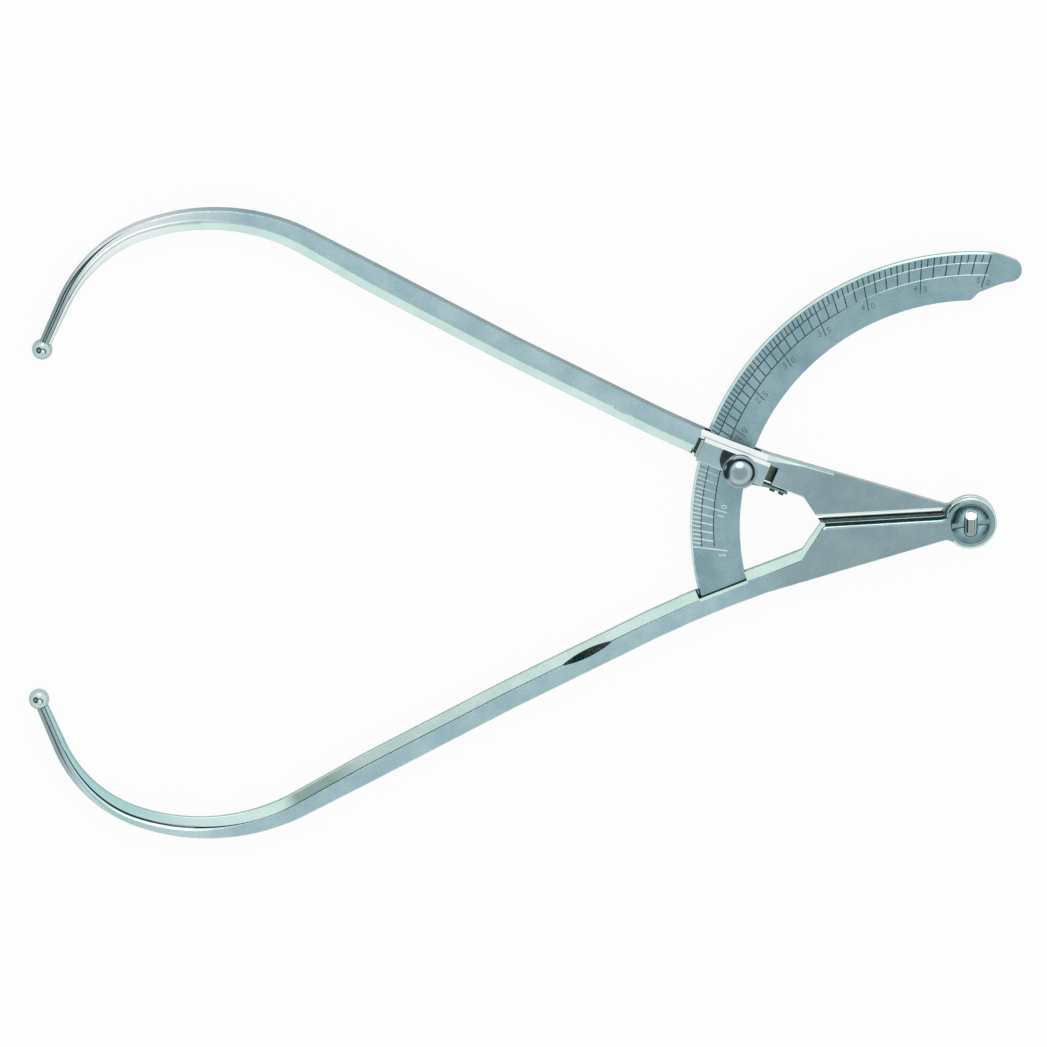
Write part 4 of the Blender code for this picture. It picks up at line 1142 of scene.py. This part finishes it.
def make_ball(name, side, body, node):
    point, slope = line_point(LINE_LENGTH)
    bpy.ops.object.select_all(action="DESELECT")
    bpy.ops.mesh.primitive_uv_sphere_add(segments=BALL_SEGMENTS, ring_count=BALL_RINGS, radius=BALL_RADIUS,
                                         location=(0, 0, 0))
    ball = bpy.context.object
    ball.name = name
    flat = (ROD_DIAMETER, -BALL_RADIUS - OVERRUN, -BALL_SEAT)
    bore = (SPIGOT_DIAMETER / 2 + RUNNING_GAP, -BALL_SEAT, SPIGOT_LENGTH - BALL_SEAT)
    direction = along(slope)
    towards = Vector((direction.x, side * direction.y, 0)).to_track_quat("Z", "Y").to_matrix().to_4x4()
    reshape(ball, moved(turned("hole", stack(flat, bore), BALL_RINGS), towards))
    moved(ball, at(point.x, side * point.y, MIDDLE))
    hand_over_plain(ball, ball_finish, body, node)


make_ball("scale_arm_ball_tip", -1, "scale_arm", "scale_arm_ball")

# Pivot: a shouldered screw from the rear with an oval front end, a thin washer, and a disc that is
# keyed on the oval end. The disc is slotted for a pin wrench. All are turned steel, plated.
KEY_WIDTH = 0.0044
KEY_LENGTH = 0.0090
KEY_STAND = 0.0017
KEY_ROUNDING = 0.0015
FACET_LENGTH = 0.0026
FACET_TILT = math.radians(36)
FACET_NORMAL = Vector((0, math.sin(FACET_TILT), math.cos(FACET_TILT)))
WASHER_THICKNESS = 0.0004
DISC_THICKNESS = 0.0016
DISC_SLOT_WIDTH = 0.0016
DISC_SLOT_DEPTH = 0.0008
DISC_DOME_RISE = 0.0009
DISC_DOME_STEPS = 16
DISC_DOME_CENTRE = 0.0002
DISC_SLOT_SLANT = math.radians(8.0)
END_STEPS = 24
REAR_SLOT_WIDTH = 0.0012
REAR_SLOT_DEPTH = 0.0006
HEAD_STAND = 0.0008
KEY_ROUNDING_STEPS = 10
FACET_TOLERANCE = math.radians(2)
# Bright plate for the cover's edges and the front beside the pocket; it also paints a highlight on the stud's
# facet and a reflection on the lap groove's far side
chrome_plate_and_highlight = plated("new bright plate and painted highlight", shade=(0.800, 0.860, 0.860), light=(0.880, 0.930, 0.930),
                      roughness=(0.05, 0.10), grain=900, relief=0.0000004)
disc_finish = plated("satin pivot disc", shade=(0.160, 0.290, 0.320), light=(0.300, 0.450, 0.475),
                     roughness=(0.12, 0.22), grain=1500, relief=0.000001)
stud_finish = plated("polished pivot stud", shade=(0.300, 0.380, 0.380), light=(0.380, 0.460, 0.450),
                     roughness=(0.06, 0.12), grain=1500, relief=0.0000005)
pivot_finish = plated("turned pivot steel", shade=(0.40, 0.53, 0.54), light=(0.52, 0.66, 0.66),
                      roughness=(0.08, 0.18), grain=1500, relief=0.000001)


def box_outline(back, side, front, far_side):
    return [(back, side), (front, side), (front, far_side), (back, far_side)]


def oval_outline(width, length):
    rise = (length - width) / 2
    outline = []
    for side in (1, -1):
        for step in range(END_STEPS + 1):
            angle = math.pi * step / END_STEPS + (0 if side > 0 else math.pi)
            outline.append((width / 2 * math.cos(angle), side * rise + width / 2 * math.sin(angle)))
    return outline


def slot_head(piece, reach, width, low, high, turn=0):
    """Saw a driver slot across a head."""
    slot = plate("slot", box_outline(-reach, -width / 2, reach, width / 2), low, high)
    reshape(piece, moved(slot, Matrix.Rotation(turn, 4, "Z")))


def is_facet(face):
    return abs(face.normal.angle(FACET_NORMAL)) < FACET_TOLERANCE


def make_pivot():
    head_top = REAR + RECESS_DEPTH - SEAT_GAP
    head_bottom = REAR - HEAD_STAND
    seat = FRONT - RECESS_DEPTH
    shank_top = seat - SEAT_GAP
    washer_low = seat + SEAT_GAP
    washer_high = washer_low + WASHER_THICKNESS
    disc_low = washer_high + SEAT_GAP
    disc_high = disc_low + DISC_THICKNESS
    key_top = FRONT + KEY_STAND
    profile = [(HEAD_RADIUS - EDGE_BREAK, head_bottom)]
    profile += stack((HEAD_RADIUS, head_bottom + EDGE_BREAK, head_top), (SHANK_RADIUS, head_top, shank_top))
    screw = turned("pivot_key_screw", profile)
    slot_end = head_bottom + REAR_SLOT_DEPTH
    slot_head(screw, HEAD_RADIUS + OVERRUN, REAR_SLOT_WIDTH, head_bottom - OVERRUN, slot_end)
    key = plate("key", oval_outline(KEY_WIDTH, KEY_LENGTH), shank_top - OVERRUN, key_top)
    only(key)
    change = key.modifiers.new("rounded end", "BEVEL")
    change.width = KEY_ROUNDING
    change.segments = KEY_ROUNDING_STEPS
    change.limit_method = "ANGLE"
    bpy.ops.object.modifier_apply(modifier=change.name)
    facet = plate("facet", box_outline(-HEAD_RADIUS, 0, HEAD_RADIUS, HEAD_RADIUS), 0, HEAD_RADIUS)
    tilt = Matrix.Rotation(-FACET_TILT, 4, "X")
    reshape(key, moved(facet, at(0, KEY_LENGTH / 2 - FACET_LENGTH, key_top) @ tilt))
    reshape(screw, key, "UNION")
    smooth_piece(screw)
    # The tilted facet is painted with a highlight in bright plate; the rest of the screw has the stud's
    # polish
    dress(screw, chrome_plate_and_highlight, stud_finish, is_facet)
    hand_over(screw, "scale_arm", "pivot_screw")

    washer = rod("pivot_thin_washer", HEAD_RADIUS, washer_low, washer_high, ROUND_STEPS)
    bore = (SHANK_RADIUS + RUNNING_GAP, washer_low - OVERRUN, disc_low + OVERRUN)
    reshape(washer, rod("bore", *bore, ROUND_STEPS))
    hand_over_plain(washer, pivot_finish, "scale_arm", "pivot_washer")

    profile = [(HEAD_RADIUS, disc_low)]
    for step in range(DISC_DOME_STEPS + 1):
        reach = between(HEAD_RADIUS, DISC_DOME_CENTRE, step / DISC_DOME_STEPS)
        profile.append((reach, disc_high - DISC_DOME_RISE * (reach / HEAD_RADIUS) ** 2))
    disc = turned("pivot_slotted_disc", profile)
    room = 2 * RUNNING_GAP
    top = disc_high + OVERRUN
    reshape(disc, plate("keyway", oval_outline(KEY_WIDTH + room, KEY_LENGTH + room), disc_low - OVERRUN, top))
    slot_floor = disc_high - DISC_SLOT_DEPTH
    slot_head(disc, HEAD_RADIUS + OVERRUN, DISC_SLOT_WIDTH, slot_floor, top, DISC_SLOT_SLANT)
    break_edges(disc, ARM_EDGE_BREAK)
    hand_over_plain(disc, disc_finish, "scale_arm", "pivot_disc")


make_pivot()

# Arc pins: two plain steel pins that hold the arc's foot in its slot in the scale arm.
# They are pushed from the rear into blind holes.
PIN_END_ROUNDING = 0.0002


def make_arc_pins():
    low = REAR + SEAT_GAP
    for name, radius in arc_pins():
        profile = [(ARC_PIN_RADIUS - PIN_END_ROUNDING, low)]
        profile += stack((ARC_PIN_RADIUS, low + PIN_END_ROUNDING, ARC_FRONT + ARC_PIN_BITE))
        pin = moved(turned(name + "_rivet", profile, SMALL_STEPS), at(*polar(radius, ARC_PIN_ANGLE)))
        hand_over_plain(pin, pivot_finish, "scale_arm", name)


make_arc_pins()

# Window arm, the upper one: the same forging turned over, milled with a pocket and a slot that the
# arc passes through. The outer edge is bevelled as far as the window.
POCKET_FLOOR_GAP = 0.0003
SLOT_FLOOR_GAP = 0.0002
POCKET_WALL_SIDE = 0.0020
POCKET_FOOT_GAP = 0.0033
POCKET_LEG_GAP = 0.0010
SLOT_ROOM = 0.0012
FOOT_LENGTH = 0.0054
LEG_THICKNESS = 0.0013
COVER_SCREW_RADIUS = 0.00095
COVER_SCREW_HEAD_RADIUS = 0.0016
COVER_SCREW_HEAD_HEIGHT = 0.0007
COVER_SCREW_BITE = 0.0030
COVER_SCREW_SPACING = 0.0036
LEAF_THICKNESS = 0.0008
LEAF_TIP_WIDTH = 0.0024
LEAF_HEIGHT = 0.0034
LEAF_LENGTH = 0.0146
LEAF_SCREW_INSET = 0.0018
LEAF_SCREW_SPACING = 0.0032
LEAF_SCREW_RADIUS = 0.0008
LEAF_SCREW_HEAD_RADIUS = 0.0010
LEAF_SCREW_HEAD_HEIGHT = 0.0009
LEAF_SCREW_BITE = 0.0030
UPPER_NICK_DISTANCE = 0.0525
UPPER_NICK_SHARE = 0.45
UPPER_NICK_RADIUS = 0.070
OUTER_LEAN = 0.3
SIDE_LEAN = 0.1
BAR_WALL_END = -0.085
# Shallow groove in the lap, painted with shade on its near side and with a reflection on its far side: its
# two sides, its bottom and its end
LAP_GROOVE_NEAR = 0.00035
LAP_GROOVE_BOTTOM = 0.00115
LAP_GROOVE_FAR = 0.0024
LAP_GROOVE_DEPTH = 0.00020
LAP_GROOVE_TOP = 0.00001
LAP_GROOVE_END = 0.0092
# Painted shade: the floor and walls of the pocket under the cover are painted dark, with a milled grain
pocket_shade = plated("milled pocket with painted shade", shade=(0.060, 0.085, 0.070), light=(0.120, 0.150, 0.130),
                       roughness=(0.25, 0.40), grain=2500, relief=0.000003)
# Painted shade for the near side of the lap groove, beside the other arm's edge
lap_groove_shade = plated("lap groove painted shade", shade=(0.060, 0.060, 0.055), light=(0.100, 0.095, 0.090),
                     roughness=(0.12, 0.25), grain=1500, relief=0.000001)
WINDOW_ALONG = along(WINDOW_SLOPE)
WINDOW_ACROSS = -outward(WINDOW_SLOPE)
WINDOW_PLACE = at(*WINDOW_POINT) @ Matrix.Rotation(math.pi - WINDOW_SLOPE, 4, "Z")
TO_WINDOW = WINDOW_PLACE.inverted()
WALL = BAR_WIDTH / 2
POCKET_FLOOR = ARC_REAR - POCKET_FLOOR_GAP
LAP_GROOVE_START = Vector((-CORNER_BACK, CORNER_SIDE))
LAP_GROOVE_STOP = Vector((-LAP_GROOVE_END, NECK_INNER_SIDE))
LAP_GROOVE_ALONG = (LAP_GROOVE_STOP - LAP_GROOVE_START).normalized()
LAP_GROOVE_ACROSS = Vector((-LAP_GROOVE_ALONG.y, LAP_GROOVE_ALONG.x))
LAP_GROOVE_RUN_IN = LAP_GROOVE_START - LAP_GROOVE_ALONG * OVERRUN


def window_reach(radius, side):
    """Distance along the window's X axis at which a circle about the pivot crosses it at this side."""
    foot = WINDOW_POINT + WINDOW_ACROSS * side
    shift = foot.dot(WINDOW_ALONG)
    return math.sqrt(shift ** 2 - foot.length_squared + radius ** 2) - shift


FOOT_FACE = min(window_reach(ARC_INNER_RADIUS, side) for side in (-WALL, 0, WALL)) - CLEARANCE
LEG_FACE = max(window_reach(ARC_OUTER_RADIUS, side) for side in (-WALL, 0, WALL)) + CLEARANCE
FOOT_END = FOOT_FACE - FOOT_LENGTH
LEG_END = LEG_FACE + LEG_THICKNESS
POCKET_START = FOOT_END - POCKET_FOOT_GAP
POCKET_END = LEG_END + POCKET_LEG_GAP
FOOT_MIDDLE = (FOOT_FACE + FOOT_END) / 2


def cover_screws():
    middle = (WALL - POCKET_WALL_SIDE) / 2
    shift = COVER_SCREW_SPACING / 2
    return (("cover_screw_outer", middle - shift), ("cover_screw_inner", middle + shift))


def leaf_tip():
    return window_reach(ARC_INNER_RADIUS, WALL + LEAF_TIP_WIDTH) - CLEARANCE


def leaf_screws():
    first = leaf_tip() - LEAF_LENGTH + LEAF_SCREW_INSET
    return (("spring_screw_outer", first + LEAF_SCREW_SPACING), ("spring_screw_inner", first))


def in_window(x, y, z=0):
    return WINDOW_PLACE @ at(x, y, z)


def lying(x, y, z):
    """Turn a piece that stands along Z to lie across the arm, at a place in the window's frame."""
    return in_window(x, y, z) @ Matrix.Rotation(-math.pi / 2, 4, "X")


def rub_lap(arm):
    """Cut a shallow groove into the lap, beside the edge that the other arm shows at this opening."""
    rings = []
    for place in (LAP_GROOVE_RUN_IN, LAP_GROOVE_STOP):
        points = ((LAP_GROOVE_NEAR, 0), (LAP_GROOVE_BOTTOM, -LAP_GROOVE_DEPTH), (LAP_GROOVE_FAR, 0), (LAP_GROOVE_BOTTOM, LAP_GROOVE_DEPTH))
        rings.append([(*(place + LAP_GROOVE_ACROSS * shift), LAP_LEVEL + rise) for shift, rise in points])
    reshape(arm, skin("rub", rings))


def rubbed_side(face):
    """Which side of the lap groove a face lies on: 1 is near the other arm, where shade is painted, 2 is far,
    where a reflection is painted, and 0 is neither.
    """
    shift = (face.center.xy - LAP_GROOVE_RUN_IN).dot(LAP_GROOVE_ACROSS)
    in_depth = LAP_GROOVE_TOP < LAP_LEVEL - face.center.z < LAP_GROOVE_DEPTH
    if in_depth and LAP_GROOVE_NEAR < shift < LAP_GROOVE_FAR and face.normal.z > BEVEL_LEAN:
        return 1 if shift < LAP_GROOVE_BOTTOM else 2
    return 0


def at_pocket(face):
    place = TO_WINDOW @ face.center
    return POCKET_START - CLEARANCE < place.x < POCKET_END + CLEARANCE and place.y > -WALL


def in_pocket(face):
    """Whether a face of the window arm is the floor or a wall of the pocket, which is painted with shade."""
    place = TO_WINDOW @ face.center
    upright = abs(face.normal.z) < SATIN_LEAN
    in_depth = POCKET_FLOOR - CLEARANCE < place.z < FRONT - RUNNING_GAP
    wall = in_depth and upright and place.y > -POCKET_WALL_SIDE - CLEARANCE
    return at_pocket(face) and (wall or abs(place.z - POCKET_FLOOR) < RUNNING_GAP)


def beside_pocket(face):
    """Whether a face of the window arm shows from the front beside the pocket."""
    place = TO_WINDOW @ face.center
    return POCKET_START < place.x < POCKET_END and place.y < -POCKET_WALL_SIDE and face.normal.z > SIDE_LEAN


def make_window_arm():
    pocket_point = WINDOW_POINT + WINDOW_ALONG * POCKET_END
    pocket_distance = line_at_radius(pocket_point.length)
    arm = arm_blank("window_arm_forging", pocket_distance, pocket_distance)
    pocket = box_outline(POCKET_START, -POCKET_WALL_SIDE, POCKET_END, WALL + OVERRUN)
    reshape(arm, moved(plate("pocket", pocket, POCKET_FLOOR, FRONT + OVERRUN), WINDOW_PLACE))
    ends = (FOOT_FACE - SLOT_ROOM, LEG_FACE + SLOT_ROOM)
    slot = box_outline(ends[0], -WALL - OVERRUN, ends[1], -POCKET_WALL_SIDE + EDGE_BREAK)
    passage = plate("slot", slot, ARC_REAR - SLOT_FLOOR_GAP, ARC_FRONT + POCKET_FLOOR_GAP)
    reshape(arm, moved(passage, WINDOW_PLACE))
    sink_top = REAR + COVER_SCREW_HEAD_HEIGHT + 2 * SEAT_GAP
    sink = (COVER_SCREW_HEAD_RADIUS + RUNNING_GAP, REAR - OVERRUN, sink_top)
    shank = (COVER_SCREW_RADIUS + RUNNING_GAP, sink_top, POCKET_FLOOR + OVERRUN)
    for name, side in cover_screws():
        reshape(arm, moved(turned("hole", stack(sink, shank), SMALL_STEPS), in_window(FOOT_MIDDLE, side)))
    for name, back in leaf_screws():
        hole = rod("hole", LEAF_SCREW_RADIUS + RUNNING_GAP, -LEAF_SCREW_BITE - CLEARANCE, OVERRUN)
        reshape(arm, moved(hole, lying(back, WALL, MIDDLE)))
    grind_nick(arm, UPPER_NICK_DISTANCE, 1, UPPER_NICK_SHARE, UPPER_NICK_RADIUS)
    rub_lap(arm)
    smooth_piece(arm, ARM_SHARPNESS)
    dress(arm, satin_plate, bright_plate, on_face_side)
    # The pocket gets the painted shade
    redress(arm, pocket_shade, in_pocket)
    for face in arm.data.polygons:
        on_wall = face.material_index == 0 and face.normal.y > OUTER_LEAN
        if on_wall and not at_pocket(face) and face.center.x < BAR_WALL_END:
            face.material_index = 1
    # The lap groove's far side is painted as a reflection in bright plate, its near side as shade
    redress(arm, chrome_plate_and_highlight, lambda face: beside_pocket(face) or rubbed_side(face) == 2)
    redress(arm, lap_groove_shade, lambda face: rubbed_side(face) == 1)
    hand_over(arm, "window_arm", "window_arm")


make_window_arm()
make_ball("window_arm_ball_tip", 1, "window_arm", "window_arm_ball")

# Window cover: a milled steel bridge over the arc, plated bright, with a thick foot, a thin leg and
# a broad chamfer along its outer side. Two screws from the rear of the arm hold its foot.
COVER_THICKNESS = 0.0017
COVER_OUTER_SIDE = 0.0029
COVER_INNER_SIDE = 0.0056
COVER_CHAMFER = 0.0012
LEG_TOP_DROP = 0.0011
BUSH_RADIUS = 0.0026
SCREW_INSET = 0.0046
SCREW_SIDE = 0.0018
SCREW_BACK = FOOT_FACE + SCREW_INSET
COVER_REAR = FRONT + SEAT_GAP
COVER_FRONT = COVER_REAR + COVER_THICKNESS
SCREW_SLOT_WIDTH = 0.0004
SCREW_SLOT_DEPTH = 0.0003
COVER_SCREW_TURN = math.radians(30)
BUSH_STEPS = 64
cover_finish = plated("ground cover plate", shade=(0.340, 0.490, 0.510), light=(0.440, 0.600, 0.640),
                      roughness=(0.05, 0.12), grain=1800, relief=0.0000015, stretch=(1, 0.3, 1),
                      turn=-WINDOW_SLOPE)


def make_cover():
    outline = [
        (-COVER_OUTER_SIDE, COVER_REAR),
        (COVER_INNER_SIDE, COVER_REAR),
        (COVER_INNER_SIDE, COVER_FRONT - EDGE_BREAK),
        (COVER_INNER_SIDE - EDGE_BREAK, COVER_FRONT),
        (-COVER_OUTER_SIDE + COVER_CHAMFER, COVER_FRONT),
        (-COVER_OUTER_SIDE, COVER_FRONT - COVER_CHAMFER),
    ]
    ends = (FOOT_END, LEG_FACE + EDGE_BREAK)
    cover = skin("window_cover_bridge", [[(back, side, level) for side, level in outline] for back in ends])
    low = POCKET_FLOOR + SEAT_GAP
    leg_side = -POCKET_WALL_SIDE + CLEARANCE
    foot = plate("foot", box_outline(FOOT_END, leg_side, FOOT_FACE, WALL), low, COVER_REAR + EDGE_BREAK)
    reshape(cover, foot, "UNION")
    leg = plate("leg", box_outline(LEG_FACE, leg_side, LEG_END, WALL), low, COVER_FRONT - LEG_TOP_DROP)
    reshape(cover, leg, "UNION")
    hole = rod("hole", BUSH_RADIUS + SEAT_GAP, COVER_REAR - OVERRUN, COVER_FRONT + OVERRUN, BUSH_STEPS)
    reshape(cover, moved(hole, at(SCREW_BACK, SCREW_SIDE)))
    top = POCKET_FLOOR + COVER_SCREW_BITE + CLEARANCE
    for name, side in cover_screws():
        hole = rod("hole", COVER_SCREW_RADIUS + RUNNING_GAP, POCKET_FLOOR - OVERRUN, top)
        reshape(cover, moved(hole, at(FOOT_MIDDLE, side)))
    break_edges(cover, ARM_EDGE_BREAK)
    moved(cover, WINDOW_PLACE)
    smooth_piece(cover)
    dress(cover, cover_finish, chrome_plate_and_highlight)
    hand_over(cover, "window_arm", "window_cover")


def make_cover_screws():
    low = REAR + SEAT_GAP
    high = low + COVER_SCREW_HEAD_HEIGHT
    radius = COVER_SCREW_HEAD_RADIUS
    shank = (COVER_SCREW_RADIUS, high, POCKET_FLOOR + COVER_SCREW_BITE)
    profile = [(radius - RUNNING_GAP, low)] + stack((radius, low + RUNNING_GAP, high), shank)
    for name, side in cover_screws():
        screw = turned(name + "_slotted", profile, SMALL_STEPS)
        slot_end = low + SCREW_SLOT_DEPTH
        slot_head(screw, radius + OVERRUN, SCREW_SLOT_WIDTH, low - OVERRUN, slot_end, COVER_SCREW_TURN)
        moved(screw, in_window(FOOT_MIDDLE, side))
        hand_over_plain(screw, pivot_finish, "window_arm", name)


make_cover()
make_cover_screws()

# Pressure plate: a small loose steel plate that lies under the window's cover.
# The thumb screw presses it on the front of the arc.
PLATE_THICKNESS = 0.0010
PLATE_FRONT = COVER_REAR - SEAT_GAP
PLATE_REAR = PLATE_FRONT - PLATE_THICKNESS


def make_pressure_plate():
    side = -POCKET_WALL_SIDE + CLEARANCE
    outline = box_outline(FOOT_FACE + CLEARANCE, side, LEG_FACE - CLEARANCE, WALL)
    loose = plate("pressure_plate_loose", outline, PLATE_REAR, PLATE_FRONT)
    break_edges(loose, ARM_EDGE_BREAK)
    moved(loose, WINDOW_PLACE)
    hand_over_plain(loose, pivot_finish, "pressure_plate", "pressure_plate")


make_pressure_plate()

# Threaded bush: a turned bush of plated brass with a thin collar.
# It is pressed into the cover from the front, and the thumb screw runs in it.
BUSH_COLLAR_RADIUS = 0.0030
BUSH_COLLAR_HEIGHT = 0.0007
SCREW_RADIUS = 0.0019
bush_finish = plated("plated brass", shade=(0.46, 0.50, 0.46), light=(0.58, 0.62, 0.57),
                     roughness=(0.10, 0.20), grain=1500, relief=0.000001)


def make_bush():
    collar_low = COVER_FRONT + SEAT_GAP
    collar_high = collar_low + BUSH_COLLAR_HEIGHT
    bush_low = COVER_REAR + SEAT_GAP
    profile = stack((BUSH_RADIUS, bush_low, collar_low))
    profile += stack((BUSH_COLLAR_RADIUS, collar_low, collar_high - RUNNING_GAP))
    profile += [(BUSH_COLLAR_RADIUS - RUNNING_GAP, collar_high)]
    bush = turned("bush_collared", profile, BUSH_STEPS)
    bore = (SCREW_RADIUS + RUNNING_GAP, bush_low - OVERRUN, collar_high + OVERRUN)
    reshape(bush, rod("bore", *bore, BUSH_STEPS))
    moved(bush, in_window(SCREW_BACK, SCREW_SIDE))
    hand_over_plain(bush, bush_finish, "window_arm", "threaded_bush")


make_bush()

# Thumb screw: turned from steel and polished. Its knob flares from a narrow neck to a rounded rim and
# ends in a shallow dome. Its shank runs in the bush and presses on the loose plate.
PLATE_TRAVEL = 0.0007
KNOB_NECK_RADIUS = 0.0028
KNOB_RADIUS = 0.0059
KNOB_NECK_HEIGHT = 0.0014
KNOB_FLARE_HEIGHT = 0.0030
KNOB_RIM_HEIGHT = 0.0012
KNOB_DOME_HEIGHT = 0.0013
KNOB_DOME_STEPS = 24
DOME_POLE_SHARE = 0.02
FLARE_LEAN = -0.3
knob_finish = plated("polished knob", shade=(0.27, 0.36, 0.39), light=(0.35, 0.43, 0.46),
                     roughness=(0.09, 0.13), grain=700, relief=0.0000004)
# Painted shade: the underside of the knob's flare is painted dark, as the shade between knob and cover
knob_underside_shade = plated("turned underside with painted shade", shade=(0.070, 0.070, 0.090), light=(0.120, 0.120, 0.145),
                        roughness=(0.20, 0.30), grain=1500, relief=0.000001)


def is_upper(face):
    return face.normal.z > FLARE_LEAN


def make_thumb_screw():
    neck_low = COVER_FRONT + SEAT_GAP + BUSH_COLLAR_HEIGHT + PLATE_TRAVEL + CLEARANCE
    neck_high = neck_low + KNOB_NECK_HEIGHT
    rim_low = neck_high + KNOB_FLARE_HEIGHT
    rim_high = rim_low + KNOB_RIM_HEIGHT
    profile = stack((SCREW_RADIUS, PLATE_FRONT + SEAT_GAP, neck_low), (KNOB_NECK_RADIUS, neck_low, neck_high),
                    (KNOB_RADIUS, rim_low, rim_high))
    for step in range(1, KNOB_DOME_STEPS):
        angle = math.pi / 2 * step / KNOB_DOME_STEPS
        profile.append((KNOB_RADIUS * math.cos(angle), rim_high + KNOB_DOME_HEIGHT * math.sin(angle)))
    profile.append((KNOB_RADIUS * DOME_POLE_SHARE, rim_high + KNOB_DOME_HEIGHT))
    screw = turned("thumb_screw_domed", profile)
    moved(screw, in_window(SCREW_BACK, SCREW_SIDE))
    break_edges(screw, ARM_EDGE_BREAK)
    smooth_piece(screw, weigh=False)
    # Faces that look down get the painted shade
    dress(screw, knob_finish, knob_underside_shade, is_upper)
    hand_over(screw, "thumb_screw", "thumb_screw")


make_thumb_screw()

# Brake leaf: a plated spring leaf on the inner side of the window arm that bears on the arc's inner
# edge, held by two cheese-head screws.
LEAF_BACK_LEAN = 0.5
LEAF_SCREW_TURN = math.radians(20)
leaf_finish = plated("satin spring steel", shade=(0.17, 0.25, 0.24), light=(0.25, 0.35, 0.34),
                     roughness=(0.24, 0.36), grain=2000, relief=0.000002)
# Oiled steel for the leaf's screws, also painting shade on the leaf's face towards the arm
leaf_screw_finish_and_shade = plated("oiled screw steel and painted shade", shade=(0.060, 0.095, 0.090), light=(0.120, 0.170, 0.160),
                           roughness=(0.20, 0.30), grain=2000, relief=0.000002)


def faces_arm(face):
    return face.normal.y > LEAF_BACK_LEAN


def make_leaf():
    near = WALL + CLEARANCE
    tip = leaf_tip()
    start = tip - LEAF_LENGTH
    fixed_end = leaf_screws()[0][1] + 2 * LEAF_SCREW_RADIUS
    outline = [(start, near), (tip, near), (tip, near + LEAF_TIP_WIDTH)]
    outline += [(fixed_end, near + LEAF_THICKNESS), (start, near + LEAF_THICKNESS)]
    low = MIDDLE - LEAF_HEIGHT / 2
    leaf = plate("brake_leaf", outline, low, low + LEAF_HEIGHT)
    for name, back in leaf_screws():
        hole = rod("hole", LEAF_SCREW_RADIUS + RUNNING_GAP, -OVERRUN, OVERRUN)
        to_leaf = at(back, near + LEAF_THICKNESS / 2, MIDDLE) @ Matrix.Rotation(math.pi / 2, 4, "X")
        reshape(leaf, moved(hole, to_leaf))
    break_edges(leaf, ARM_EDGE_BREAK / 2)
    moved(leaf, WINDOW_PLACE)
    smooth_piece(leaf)
    # The leaf's face towards the arm is painted dark, as the shade between leaf and arm
    dress(leaf, leaf_screw_finish_and_shade, leaf_finish, faces_arm)
    hand_over(leaf, "window_arm", "leaf_spring")
    head_low = near + LEAF_THICKNESS + SEAT_GAP
    head_high = head_low + LEAF_SCREW_HEAD_HEIGHT
    radius = LEAF_SCREW_HEAD_RADIUS
    shank = (LEAF_SCREW_RADIUS, WALL - LEAF_SCREW_BITE, head_low)
    profile = stack(shank, (radius, head_low, head_high - RUNNING_GAP)) + [(radius - RUNNING_GAP, head_high)]
    for name, back in leaf_screws():
        screw = turned(name + "_cheese_head", profile, SMALL_STEPS)
        floor = head_high - SCREW_SLOT_DEPTH
        slot_head(screw, radius + OVERRUN, SCREW_SLOT_WIDTH, floor, head_high + OVERRUN, LEAF_SCREW_TURN)
        hand_over_plain(moved(screw, lying(back, 0, MIDDLE)), leaf_screw_finish_and_shade, "window_arm", name)


make_leaf()
